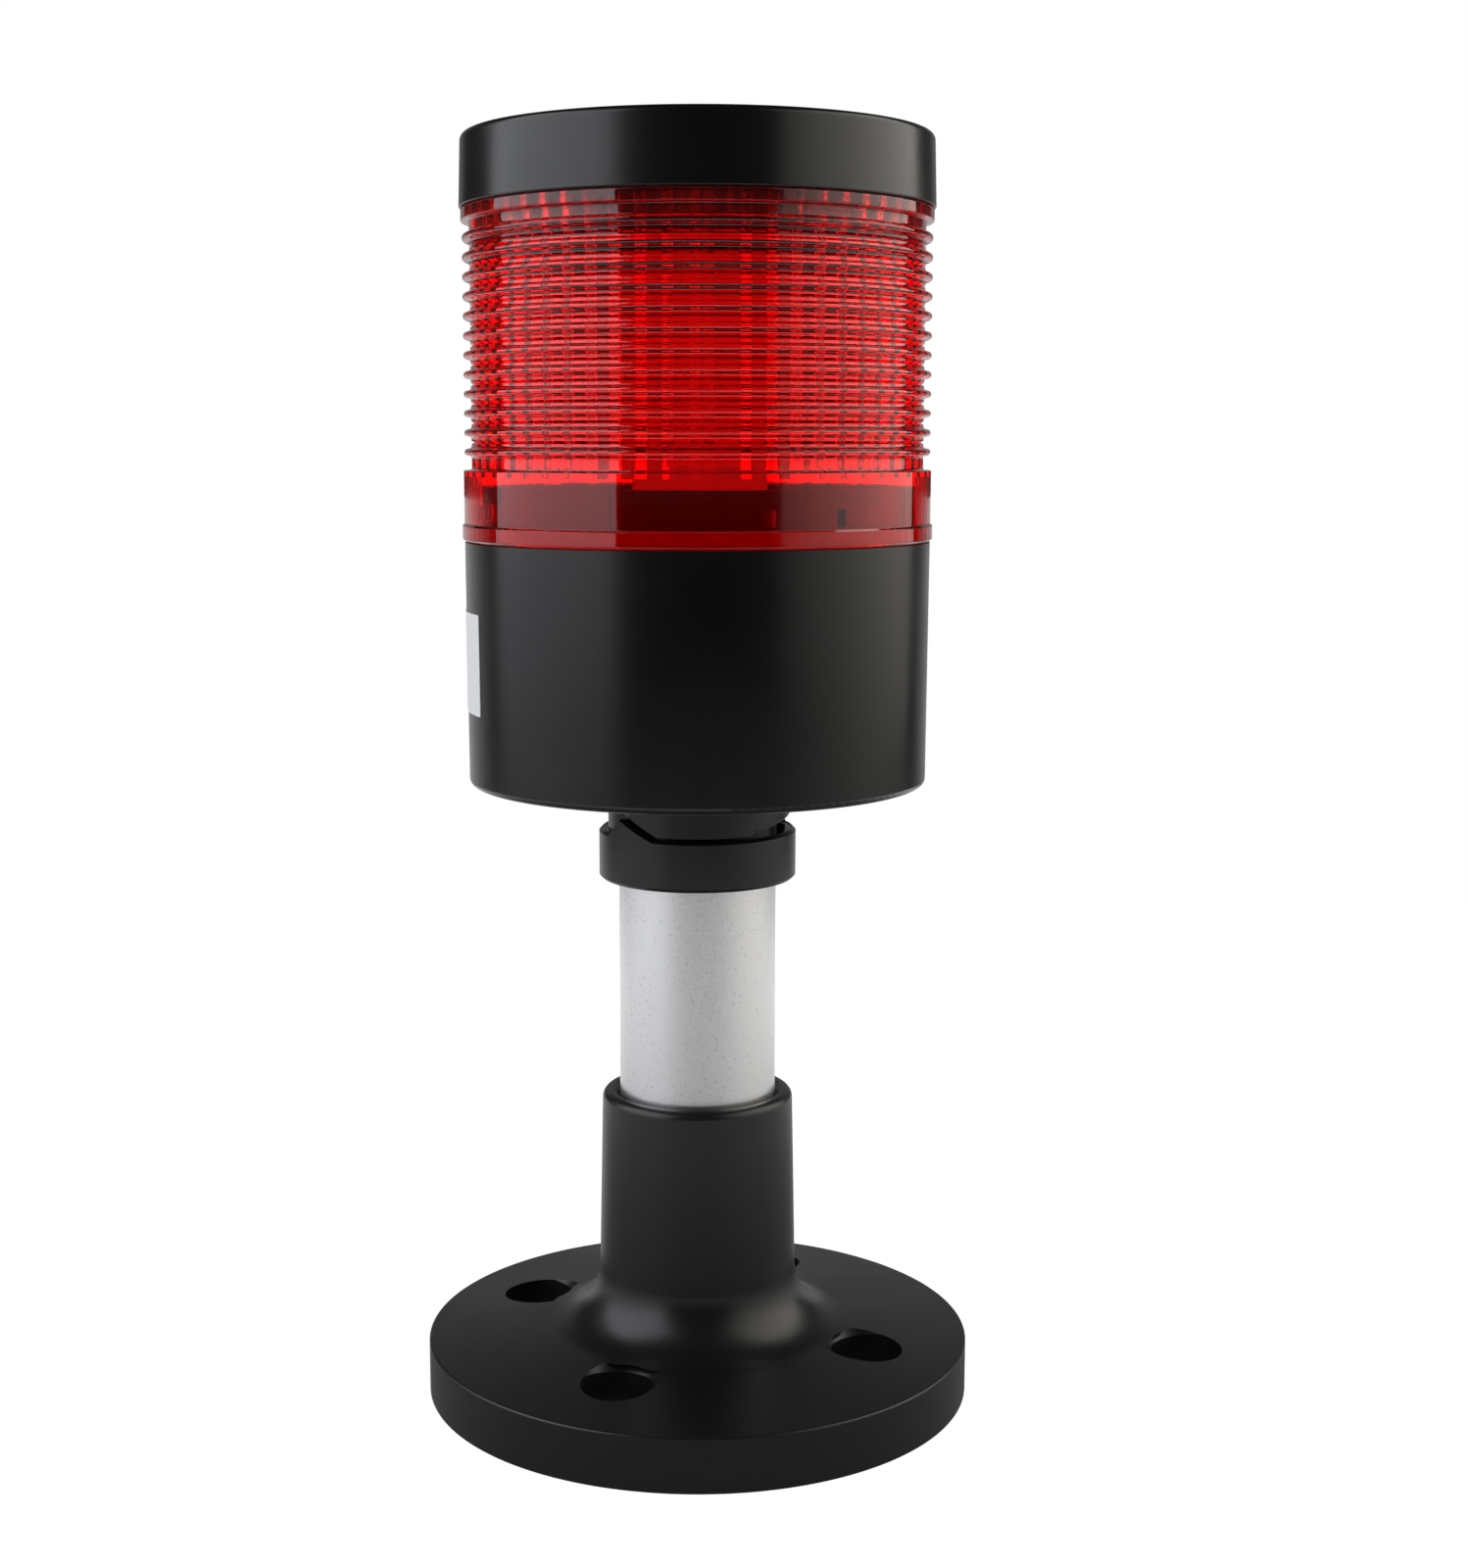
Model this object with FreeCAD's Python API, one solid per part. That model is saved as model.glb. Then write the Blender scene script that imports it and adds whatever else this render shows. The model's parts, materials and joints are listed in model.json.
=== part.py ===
import FreeCAD, Part
import math
import os

# Single-tier signal light on a pole with a round foot.
# Millimetres, +Z up, origin at the centre of the foot's underside.
# Azimuth is measured about +Z from the front (-Y) towards +X.

Vector = FreeCAD.Vector

# ---------------------------------------------------------------- driving sizes

SLIDE_GAP = 0.05            # gap of a shaft or screw in its own hole
PART_GAP = 0.3              # gap between mouldings that move past each other
SEAM_GAP = 0.25             # visible seam between two mouldings
CUT_OVER = 1.0              # how far a cutting body runs past the face it cuts

# Foot
FOOT_RADIUS = 42.0
FOOT_EDGE_HEIGHT = 8.4
FOOT_TOP_SLOPE = 6.0        # degrees, the top rises towards the stem
FOOT_EDGE_ROUND = 0.8
FOOT_WALL = 3.0
POCKET_STEM_GAP = 1.5       # of the pockets underneath from the stem's root
FOOT_POCKET_DEPTH = 3.2
FOOT_RIB_WIDTH = 2.2
FOOT_RIBS = 8
BOLT_CIRCLE = 56.7
BOLT_HOLE = 10.9
BOLT_COUNT = 4
BOLT_BOSS_WALL = 2.8
STEM_TOP = 47.3
STEM_WALL = 2.62            # at the rim
STEM_DRAFT = 0.73           # how much wider the stem is at its root
STEM_FILLET = 9.0
STEM_RIM_ROUND = 1.3
STEM_LEAD_IN = 0.9

# Pole
POLE_DIAMETER = 24.0
POLE_WALL = 1.5
POLE_LENGTH = 100.0
POLE_SEAT = 8.0             # height of the ledge that the pole stands on

# Collar clamped on the pole below the head
HEAD_GRIP = 27.3            # from the collar's underside to the end of the pole
COLLAR_HEIGHT = 7.7
COLLAR_WALL = 2.95
COLLAR_CHAMFER = 0.5
LUG_COUNT = 2
LUG_HEIGHT = 2.8
LUG_START = -70.5           # azimuth of the lug's upright end
LUG_WIDTH = 39.0            # degrees
LUG_RAMP = 4.7              # length of the lug's sloping end

# Grub and self-tapping screws
GRUB_RADIUS = 2.0
GRUB_KEY = 2.0
GRUB_KEY_DEPTH = 1.3
GRUB_SINK = 0.5             # below the face that it is screwed into
GRUB_AZIMUTH = 180.0
STEM_GRUB_HEIGHT = 32.0
TAP_RADIUS = 1.2
TAP_HEAD_RADIUS = 2.6
TAP_HEAD_HEIGHT = 1.7
TAP_SLOT = 0.7
TAP_SLOT_MARGIN = 0.75      # from the end of the slot to the head's edge
CROSS_SCREW_AZIMUTHS = (90.0, 270.0)
SMALL_TAP_RADIUS = 0.9
SMALL_TAP_HEAD_RADIUS = 1.9
SMALL_TAP_HEAD_HEIGHT = 1.2

# Head, turned on the pole against the foot's bolt holes
HEAD_TURN = -15.0
LAMP_RADIUS = 35.0
NECK_LENGTH = 7.0
BODY_HEIGHT = 36.3
BODY_SETBACK = 0.28         # of the body's top edge behind the cap's
BODY_DRAFT = 0.24
BODY_WALL = 2.4
BODY_FLOOR = 2.6
BODY_EDGE_ROUND = 1.0
BODY_RECESS_DEPTH = 0.8
BODY_RECESS_MARGIN = 4.4
NECK_WALL = 1.7
NECK_CUT_AZIMUTH = 61.5     # middle of the cut that lets the collar's lug in
NECK_CUT_SPREAD = 35.0      # degrees, each side of its middle
NECK_CUT_LOW_END = 0.5
SOCKET_WALL = 2.5
SOCKET_STOP = 1.5
GROMMET_SEAT = 1.5
GROMMET_LEDGE = 0.8

# Bayonet ring at the top of the body, with three L-shaped tracks
BAYONET_COUNT = 3
RING_CLEARANCE = 0.6
RING_WALL = 2.5
RING_HEIGHT = 8.2
RING_LEDGE_DROP = 4.2
TRACK_DEPTH = 1.5
TRACK_FLOOR = 2.8           # above the body's top
TRACK_HEIGHT = 3.0
ENTRY_AZIMUTH = 57.0
ENTRY_WIDTH = 23.0
LENS_TWIST = 35.0
LUG_SIDE_GAP = 1.5          # degrees, each side of a lug in its entry
MARK_AZIMUTH = -26.2
MARK_WIDTH = 1.2
MARK_DEPTH = 0.5

# Lens
LENS_HEIGHT = 47.95
LENS_SETBACK = 0.25
LENS_DRAFT = 0.15
LENS_WALL = 2.5
LIP_HEIGHT = 2.5
LIP_STEP = 0.3
LENS_BAND_HEIGHT = 10.33
LENS_BAND_WALL = 1.75
LENS_RIM_HEIGHT = 1.67
RIDGE_COUNT = 12
RIDGE_DEPTH = 1.05
RIDGE_ROOT = 1.3
RIDGE_TIP = 0.8
LOWER_VALLEY = 2.0          # from the plain band to the first ridge
UPPER_VALLEY = 1.7          # from the last ridge to the top rim
FLUTE_COUNT = 55
FLUTE_PITCH = 6.5           # degrees
FLUTE_DEPTH = 0.7
FLUTE_CLEARANCE = 1.5       # between the bayonet ring and the flutes
LENS_LUG_HEIGHT = 2.4

# Seals
LENS_SEAL_WALL = 0.9
LENS_SEAL_HEIGHT = 2.3
CAP_SEAL_WALL = 1.1
CAP_SEAL_HEIGHT = 1.2

# Cap
CAP_DRAFT = 0.3
CAP_HEIGHT = 10.5
CAP_ROOF = 2.2
CAP_WALL = 2.6
CAP_EDGE_ROUND = 1.0
SPIGOT_WALL = 2.0
SPIGOT_DEPTH = 5.3
CAP_LUG_LENGTH = 1.4
CAP_LUG_CLEARANCE = 0.4
CAP_LUG_HEIGHT = 1.9
CAP_TAB_HEIGHT = 2.0
CAP_LUG_AZIMUTH = 30.0
CAP_TWIST = 25.0
CAP_TWIST_MARGIN = 9.0      # degrees of the twist that a lug turns past its tab

# Inside the head
CARRIER_HEIGHT = 26.0       # underside of the carrier plate above the floor
CARRIER_THICKNESS = 2.5
BOSS_RADIUS = 3.2
BOSS_INSET = 4.4            # of a boss's centre from the bayonet ring's bore
BOSS_COUNT = 3
BOSS_WEB = 1.9              # thickness of the web that ties a boss to the wall
BOSS_PILOT_DEPTH = 12.0
PEG_RADIUS = 2.5
PEG_INSET = 5.0             # of a peg's centre from the board's edge
PEG_HEIGHT = 6.0
PEG_AZIMUTH = 90.0
PEG_COUNT = 3
PEG_SCREW_GRIP = 4.2        # length of the small screw inside a peg
BOARD_CLEARANCE = 1.3
BOARD_THICKNESS = 1.6
WIRE_HOLE = 7.0
PIN_RADIUS = 0.8
PIN_CIRCLE = 12.0
PIN_COUNT = 3
PIN_RISE = 4.5
CAPACITOR_RADIUS = 3.15
CAPACITOR_HEIGHT = 5.4
COIL_CIRCLE = 24.0          # pitch circle of the choke and the capacitor
CHOKE_AZIMUTH = 30.0
CAPACITOR_AZIMUTH = -90.0
CHOKE_SIDE = 7.0
CHOKE_HEIGHT = 4.0
GROMMET_HOLE = 7.0
GROMMET_HEIGHT = 2.5
GROMMET_LEAD_IN = 0.8
TERMINAL_WAYS = 3
TERMINAL_PITCH = 9.0
TERMINAL_DEPTH = 9.0
TERMINAL_HEIGHT = 14.0
TERMINAL_WALL_GAP = 1.2     # between its corners and the housing
CAGE_WIDTH = 5.0
CAGE_HEIGHT = 5.8
CAGE_WALL = 1.0
CAGE_ROOF = 1.5
CAGE_FLOOR = 2.0
CLAMP_SCREW_RADIUS = 1.5
CLAMP_SCREW_LENGTH = 2.0
CLAMP_HEAD_RADIUS = 2.1
CLAMP_HEAD_HEIGHT = 2.5

# Light column
COLUMN_SIDE = 16.0
COLUMN_WALL = 2.5
COLUMN_BASE_RIM = 3.5       # from the screws' circle to the edge of the column's foot
COLUMN_BASE_HEIGHT = 2.5
COLUMN_DROP = 7.4           # of the column's top below the lens's
COLUMN_TOP_RIM = 1.1        # of the top disc beyond the column's corners
COLUMN_TOP_HEIGHT = 2.0
COLUMN_SCREWS = 2
COLUMN_SCREW_GAP = 1.3      # between a screw's head and an LED board
LED_BOARD_INSET = 0.75
LED_BOARD_MARGIN = 1.5
LED_SIDE = 5.0
LED_HEIGHT = 1.6
LEDS_PER_BOARD = 4
LED_BOARDS = 4

# ---------------------------------------------------------------- worked-out sizes

TAP_PILOT = TAP_RADIUS + SLIDE_GAP
SMALL_TAP_PILOT = SMALL_TAP_RADIUS + SLIDE_GAP
POLE_RADIUS = POLE_DIAMETER / 2
POLE_BORE = POLE_RADIUS - POLE_WALL
POLE_HOLE = POLE_RADIUS + SLIDE_GAP
POLE_TOP = POLE_SEAT + POLE_LENGTH
STEM_TOP_RADIUS = POLE_HOLE + STEM_WALL
STEM_FOOT_RADIUS = STEM_TOP_RADIUS + STEM_DRAFT
COLLAR_BOTTOM = POLE_TOP - HEAD_GRIP
COLLAR_TOP = COLLAR_BOTTOM + COLLAR_HEIGHT
COLLAR_RADIUS = POLE_HOLE + COLLAR_WALL
NECK_HOLE = POLE_HOLE + SLIDE_GAP
NECK_RADIUS = NECK_HOLE + NECK_WALL
SOCKET_RADIUS = NECK_HOLE + SOCKET_WALL
BODY_BOTTOM = COLLAR_TOP + NECK_LENGTH
BODY_TOP = BODY_BOTTOM + BODY_HEIGHT
BODY_TOP_RADIUS = LAMP_RADIUS - BODY_SETBACK
BODY_BOTTOM_RADIUS = BODY_TOP_RADIUS - BODY_DRAFT
BODY_BORE = BODY_BOTTOM_RADIUS - BODY_WALL
FLOOR_TOP = BODY_BOTTOM + BODY_FLOOR
SOCKET_TOP = POLE_TOP + SOCKET_STOP + GROMMET_SEAT
CROSS_SCREW_HEIGHT = (FLOOR_TOP + POLE_TOP) / 2
LENS_RADIUS = LAMP_RADIUS - LENS_SETBACK
LENS_TOP_RADIUS = LENS_RADIUS - LENS_DRAFT
LENS_BAND_BORE = LENS_RADIUS - LENS_BAND_WALL
RING_TOP = BODY_TOP + RING_HEIGHT
RING_RADIUS = LENS_BAND_BORE - RING_CLEARANCE
RING_BORE = RING_RADIUS - RING_WALL
TRACK_BOTTOM = BODY_TOP + TRACK_FLOOR
TRACK_TOP = TRACK_BOTTOM + TRACK_HEIGHT
LENS_LUG_WIDTH = ENTRY_WIDTH - 2 * LUG_SIDE_GAP
LENS_BOTTOM = BODY_TOP + SEAM_GAP
LENS_TOP = LENS_BOTTOM + LENS_HEIGHT
LENS_BAND_TOP = LENS_BOTTOM + LENS_BAND_HEIGHT
LENS_SEAL_RADIUS = RING_RADIUS + SLIDE_GAP + LENS_SEAL_WALL
LIP_RADIUS = LENS_RADIUS + LIP_STEP
LENS_RIM_BOTTOM = LENS_TOP - LENS_RIM_HEIGHT
LENS_WALL_RADIUS = LENS_TOP_RADIUS - RIDGE_DEPTH
FIRST_RIDGE = LENS_BAND_TOP + LOWER_VALLEY + RIDGE_ROOT / 2
LAST_RIDGE = LENS_RIM_BOTTOM - UPPER_VALLEY - RIDGE_ROOT / 2
RIDGE_PITCH = (LAST_RIDGE - FIRST_RIDGE) / (RIDGE_COUNT - 1)
FLUTE_VALLEY_RADIUS = LENS_TOP_RADIUS - LENS_WALL
FLUTE_CREST_RADIUS = FLUTE_VALLEY_RADIUS - FLUTE_DEPTH
FLUTE_BOTTOM = RING_TOP + FLUTE_CLEARANCE
CAP_BOTTOM = LENS_TOP + SEAM_GAP
CAP_TOP = CAP_BOTTOM + CAP_HEIGHT
CAP_TOP_RADIUS = LAMP_RADIUS - CAP_DRAFT
CAP_BORE = LAMP_RADIUS - CAP_WALL
CAP_SEAL_RADIUS = (CAP_BORE + LAMP_RADIUS + CAP_SEAL_WALL) / 2
SPIGOT_RADIUS = FLUTE_CREST_RADIUS - CAP_LUG_CLEARANCE - CAP_LUG_LENGTH
SPIGOT_BOTTOM = LENS_TOP - SPIGOT_DEPTH
CAP_LUG_WIDTH = CAP_TWIST - CAP_TWIST_MARGIN
CAP_TAB_BOTTOM = SPIGOT_BOTTOM + CAP_LUG_HEIGHT + PART_GAP
CARRIER_BOTTOM = FLOOR_TOP + CARRIER_HEIGHT
CARRIER_TOP = CARRIER_BOTTOM + CARRIER_THICKNESS
CARRIER_RADIUS = RING_BORE - PART_GAP
BOSS_CIRCLE = 2 * (RING_BORE - BOSS_INSET)
BOARD_RADIUS = BOSS_CIRCLE / 2 - BOSS_RADIUS - BOARD_CLEARANCE
PEG_CIRCLE = 2 * (BOARD_RADIUS - PEG_INSET)
BOARD_TOP = CARRIER_BOTTOM - PEG_HEIGHT
BOARD_BOTTOM = BOARD_TOP - BOARD_THICKNESS
COLUMN_BASE_TOP = CARRIER_TOP + COLUMN_BASE_HEIGHT
COLUMN_TOP = LENS_TOP - COLUMN_DROP
COLUMN_HEIGHT = COLUMN_TOP - COLUMN_BASE_TOP
COLUMN_SCREW_CIRCLE = COLUMN_SIDE + 2 * (BOARD_THICKNESS + COLUMN_SCREW_GAP + TAP_HEAD_RADIUS)
COLUMN_BASE_RADIUS = COLUMN_SCREW_CIRCLE / 2 + COLUMN_BASE_RIM
COLUMN_TOP_RADIUS = COLUMN_SIDE / math.sqrt(2) + COLUMN_TOP_RIM
LED_BOARD_WIDTH = COLUMN_SIDE - 2 * LED_BOARD_INSET
LED_BOARD_BOTTOM = COLUMN_BASE_TOP + LED_BOARD_MARGIN
LED_BOARD_HEIGHT = COLUMN_HEIGHT - COLUMN_TOP_HEIGHT - 2 * LED_BOARD_MARGIN
TERMINAL_WIDTH = TERMINAL_WAYS * TERMINAL_PITCH
TERMINAL_BACK = math.sqrt((BODY_BORE - TERMINAL_WALL_GAP) ** 2 - (TERMINAL_WIDTH / 2) ** 2)
TERMINAL_FRONT = TERMINAL_BACK - TERMINAL_DEPTH
CAGE_BOTTOM = FLOOR_TOP + CAGE_FLOOR
CAGE_TOP = CAGE_BOTTOM + CAGE_HEIGHT


# ---------------------------------------------------------------- helpers

def spot(radius, azimuth, height):
    """Point at a radius and azimuth."""
    angle = math.radians(azimuth)
    return Vector(radius * math.sin(angle), -radius * math.cos(angle), height)


def ring(outer, inner, low, high):
    """Upright ring, or a disc where the inner radius is zero."""
    disc = Part.makeCylinder(outer, high - low, Vector(0, 0, low))
    if inner <= 0:
        return disc
    hole = Part.makeCylinder(inner, high - low + 2 * CUT_OVER, Vector(0, 0, low - CUT_OVER))
    return disc.cut(hole)


def sector(outer, inner, low, high, start, width):
    """Part of an upright ring, from one azimuth over a width in degrees."""
    axis = Vector(0, 0, 1)
    wedge = Part.makeCylinder(outer, high - low, Vector(0, 0, low), axis, width)
    hole = Part.makeCylinder(inner, high - low + 2 * CUT_OVER, Vector(0, 0, low - CUT_OVER))
    piece = wedge.cut(hole)
    piece.rotate(Vector(0, 0, 0), axis, start - 90)
    return piece


def turned(outline):
    """Solid of revolution from a closed outline of (radius, height) points."""
    points = [Vector(radius, 0, height) for radius, height in outline]
    face = Part.Face(Part.makePolygon(points + [points[0]]))
    return face.revolve(Vector(0, 0, 0), Vector(0, 0, 1), 360)


def rounded(shape, radius, places):
    """Round the circular edges found at the given (radius, height) places."""
    edges = []
    for edge in shape.Edges:
        circle = edge.Curve
        if not isinstance(circle, Part.Circle):
            continue
        for edge_radius, height in places:
            near_radius = abs(circle.Radius - edge_radius) < 0.01
            near_height = abs(circle.Center.z - height) < 0.01
            if near_radius and near_height:
                edges.append(edge)
    return shape.makeFillet(radius, edges)


def block(width, depth, low, high, centre_x=0.0, centre_y=0.0):
    """Upright box about a centre."""
    corner = Vector(centre_x - width / 2, centre_y - depth / 2, low)
    return Part.makeBox(width, depth, high - low, corner)


def rod(radius, azimuth, circle, low, high):
    """Upright rod that stands on a pitch circle."""
    return Part.makeCylinder(radius, high - low, spot(circle / 2, azimuth, low))


def spoke(radius, azimuth, inner, outer, height):
    """Level rod that points outwards from the axis."""
    direction = spot(1, azimuth, 0)
    return Part.makeCylinder(radius, outer - inner, spot(inner, azimuth, height), direction)


def face_prism(outline, inner, outer, azimuth):
    """Prism from (sideways, height) points, run outwards between two radii."""
    points = [Vector(sideways, -inner, height) for sideways, height in outline]
    face = Part.Face(Part.makePolygon(points + [points[0]]))
    prism = face.extrude(Vector(0, inner - outer, 0))
    return spun(prism, azimuth)


def spun(shape, angle):
    """Copy of a shape turned about the axis of the light."""
    copy = shape.copy()
    copy.rotate(Vector(0, 0, 0), Vector(0, 0, 1), angle)
    return copy


def around(shape, count):
    """Evenly spaced copies about the axis."""
    return [spun(shape, index * 360.0 / count) for index in range(count)]


def hex_prism(across, length):
    """Hexagonal prism along +Z from the origin."""
    radius = across / 2 / math.cos(math.radians(30))
    angles = [math.radians(60 * index) for index in range(7)]
    points = [Vector(radius * math.cos(a), radius * math.sin(a), 0) for a in angles]
    return Part.Face(Part.makePolygon(points)).extrude(Vector(0, 0, length))


def laid_out(shape, azimuth, radius, height):
    """Turn a shape from +Z to point outwards, and put its origin at a radius."""
    copy = shape.copy()
    copy.rotate(Vector(0, 0, 0), Vector(1, 0, 0), 90)
    copy.translate(Vector(0, -radius, height))
    return spun(copy, azimuth)


def pan_screw(shank, head_radius, head_height, length):
    """Self-tapping screw along +Z, the underside of its head at the origin."""
    body = Part.makeCylinder(shank, length, Vector(0, 0, -length))
    shoulder = head_height / 2
    outline = [
        (0, 0),
        (head_radius, 0),
        (head_radius, shoulder),
        (head_radius - shoulder, head_height),
        (0, head_height),
    ]
    head = turned(outline)
    slot_length = 2 * (head_radius - TAP_SLOT_MARGIN)
    for width, depth in ((TAP_SLOT, slot_length), (slot_length, TAP_SLOT)):
        head = head.cut(block(width, depth, shoulder, head_height + CUT_OVER))
    return body.fuse(head).removeSplitter()


# ---------------------------------------------------------------- foot and pole

def top_of_foot(radius):
    """Height of the foot's sloping top at a radius."""
    return FOOT_EDGE_HEIGHT + (FOOT_RADIUS - radius) * math.tan(math.radians(FOOT_TOP_SLOPE))


def grub_hole(azimuth, inner, outer, height):
    """Tapped hole for a grub screw, drilled through one wall."""
    return spoke(GRUB_RADIUS + SLIDE_GAP, azimuth, inner - CUT_OVER, outer + CUT_OVER, height)


def base_flange():
    """Foot and stem in one moulding, ribbed underneath."""
    stem_root = top_of_foot(STEM_FOOT_RADIUS)
    outline = [
        (POLE_BORE, 0),
        (FOOT_RADIUS, 0),
        (FOOT_RADIUS, FOOT_EDGE_HEIGHT),
        (STEM_FOOT_RADIUS, stem_root),
        (STEM_TOP_RADIUS, STEM_TOP),
        (POLE_HOLE + STEM_LEAD_IN, STEM_TOP),
        (POLE_HOLE, STEM_TOP - STEM_LEAD_IN),
        (POLE_HOLE, POLE_SEAT),
        (POLE_BORE, POLE_SEAT),
    ]
    foot = turned(outline)
    foot = rounded(foot, STEM_FILLET, [(STEM_FOOT_RADIUS, stem_root)])
    foot = rounded(foot, STEM_RIM_ROUND, [(STEM_TOP_RADIUS, STEM_TOP)])
    foot = rounded(foot, FOOT_EDGE_ROUND, [(FOOT_RADIUS, FOOT_EDGE_HEIGHT)])

    pocket_inner = STEM_FOOT_RADIUS + POCKET_STEM_GAP
    pocket = ring(FOOT_RADIUS - FOOT_WALL, pocket_inner, -CUT_OVER, FOOT_POCKET_DEPTH)
    rib_length = 2 * FOOT_RADIUS
    for index in range(FOOT_RIBS // 2):
        rib = block(FOOT_RIB_WIDTH, rib_length, -2 * CUT_OVER, FOOT_POCKET_DEPTH + CUT_OVER)
        pocket = pocket.cut(spun(rib, index * 360.0 / FOOT_RIBS))
    boss_radius = BOLT_HOLE / 2 + BOLT_BOSS_WALL
    first_bolt = 180.0 / BOLT_COUNT
    boss = rod(boss_radius, first_bolt, BOLT_CIRCLE, -2 * CUT_OVER, FOOT_POCKET_DEPTH + CUT_OVER)
    pocket = pocket.cut(around(boss, BOLT_COUNT))
    foot = foot.cut(pocket)

    top = stem_root + STEM_FILLET
    hole = rod(BOLT_HOLE / 2, first_bolt, BOLT_CIRCLE, -CUT_OVER, top)
    foot = foot.cut(around(hole, BOLT_COUNT))
    return foot.cut(grub_hole(GRUB_AZIMUTH, POLE_HOLE, STEM_TOP_RADIUS, STEM_GRUB_HEIGHT))


def pole_tube():
    """Aluminium tube, cross-drilled near the top for the head's screws."""
    tube = ring(POLE_RADIUS, POLE_BORE, POLE_SEAT, POLE_TOP)
    for azimuth in CROSS_SCREW_AZIMUTHS:
        drill = spoke(TAP_PILOT, azimuth, POLE_BORE - CUT_OVER, POLE_RADIUS + CUT_OVER, CROSS_SCREW_HEIGHT)
        tube = tube.cut(spun(drill, HEAD_TURN))
    return tube


def pole_collar():
    """Clamp collar with two ramped lugs that key the head's neck."""
    inner_lug = NECK_RADIUS + PART_GAP / 2
    outline = [
        (POLE_HOLE, COLLAR_BOTTOM),
        (COLLAR_RADIUS - COLLAR_CHAMFER, COLLAR_BOTTOM),
        (COLLAR_RADIUS, COLLAR_BOTTOM + COLLAR_CHAMFER),
        (COLLAR_RADIUS, COLLAR_TOP - COLLAR_CHAMFER),
        (COLLAR_RADIUS - COLLAR_CHAMFER, COLLAR_TOP),
        (POLE_HOLE, COLLAR_TOP),
    ]
    collar = turned(outline)
    lug_root = COLLAR_TOP - 2 * COLLAR_CHAMFER
    lug_top = COLLAR_TOP + LUG_HEIGHT
    lug = sector(COLLAR_RADIUS, inner_lug, lug_root, lug_top, LUG_START, LUG_WIDTH)
    ramp_top = lug_top + CUT_OVER
    ramp_end = LUG_START + LUG_WIDTH
    ramp = [
        (-LUG_RAMP, lug_top),
        (0, COLLAR_TOP),
        (LUG_RAMP, COLLAR_TOP),
        (LUG_RAMP, ramp_top),
        (-LUG_RAMP, ramp_top),
    ]
    lug = lug.cut(face_prism(ramp, inner_lug - CUT_OVER, COLLAR_RADIUS + CUT_OVER, ramp_end))
    collar = collar.fuse(around(lug, LUG_COUNT)).removeSplitter()
    grub_height = COLLAR_BOTTOM + COLLAR_HEIGHT / 2
    collar = collar.cut(grub_hole(GRUB_AZIMUTH, POLE_HOLE, COLLAR_RADIUS, grub_height))
    return spun(collar, HEAD_TURN)


def grub_screw(azimuth, outer, height):
    """Socket grub screw, its tip against the pole."""
    length = outer - POLE_HOLE
    screw = Part.makeCylinder(GRUB_RADIUS, length)
    key = hex_prism(GRUB_KEY, GRUB_KEY_DEPTH + CUT_OVER)
    key.translate(Vector(0, 0, length - GRUB_KEY_DEPTH))
    return laid_out(screw.cut(key), azimuth, POLE_HOLE, height)


def grub_screws():
    """One screw in the stem and one in the collar, both at the back."""
    stem_screw = grub_screw(GRUB_AZIMUTH, STEM_TOP_RADIUS - GRUB_SINK, STEM_GRUB_HEIGHT)
    collar_height = COLLAR_BOTTOM + COLLAR_HEIGHT / 2
    collar_screw = grub_screw(GRUB_AZIMUTH + HEAD_TURN, COLLAR_RADIUS - GRUB_SINK, collar_height)
    return Part.makeCompound([stem_screw, collar_screw])


# ---------------------------------------------------------------- head housing

def bayonet_track():
    """L-shaped track: an entry open at the top, and a level run to its left."""
    inner = RING_RADIUS - TRACK_DEPTH
    outer = RING_RADIUS + CUT_OVER
    entry_start = ENTRY_AZIMUTH - ENTRY_WIDTH / 2
    run_start = ENTRY_AZIMUTH - LENS_TWIST - ENTRY_WIDTH / 2
    run_width = LENS_TWIST + ENTRY_WIDTH
    entry = sector(outer, inner, TRACK_BOTTOM, RING_TOP + CUT_OVER, entry_start, ENTRY_WIDTH)
    run = sector(outer, inner, TRACK_BOTTOM, TRACK_TOP, run_start, run_width)
    return entry.fuse(run).removeSplitter()


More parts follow.
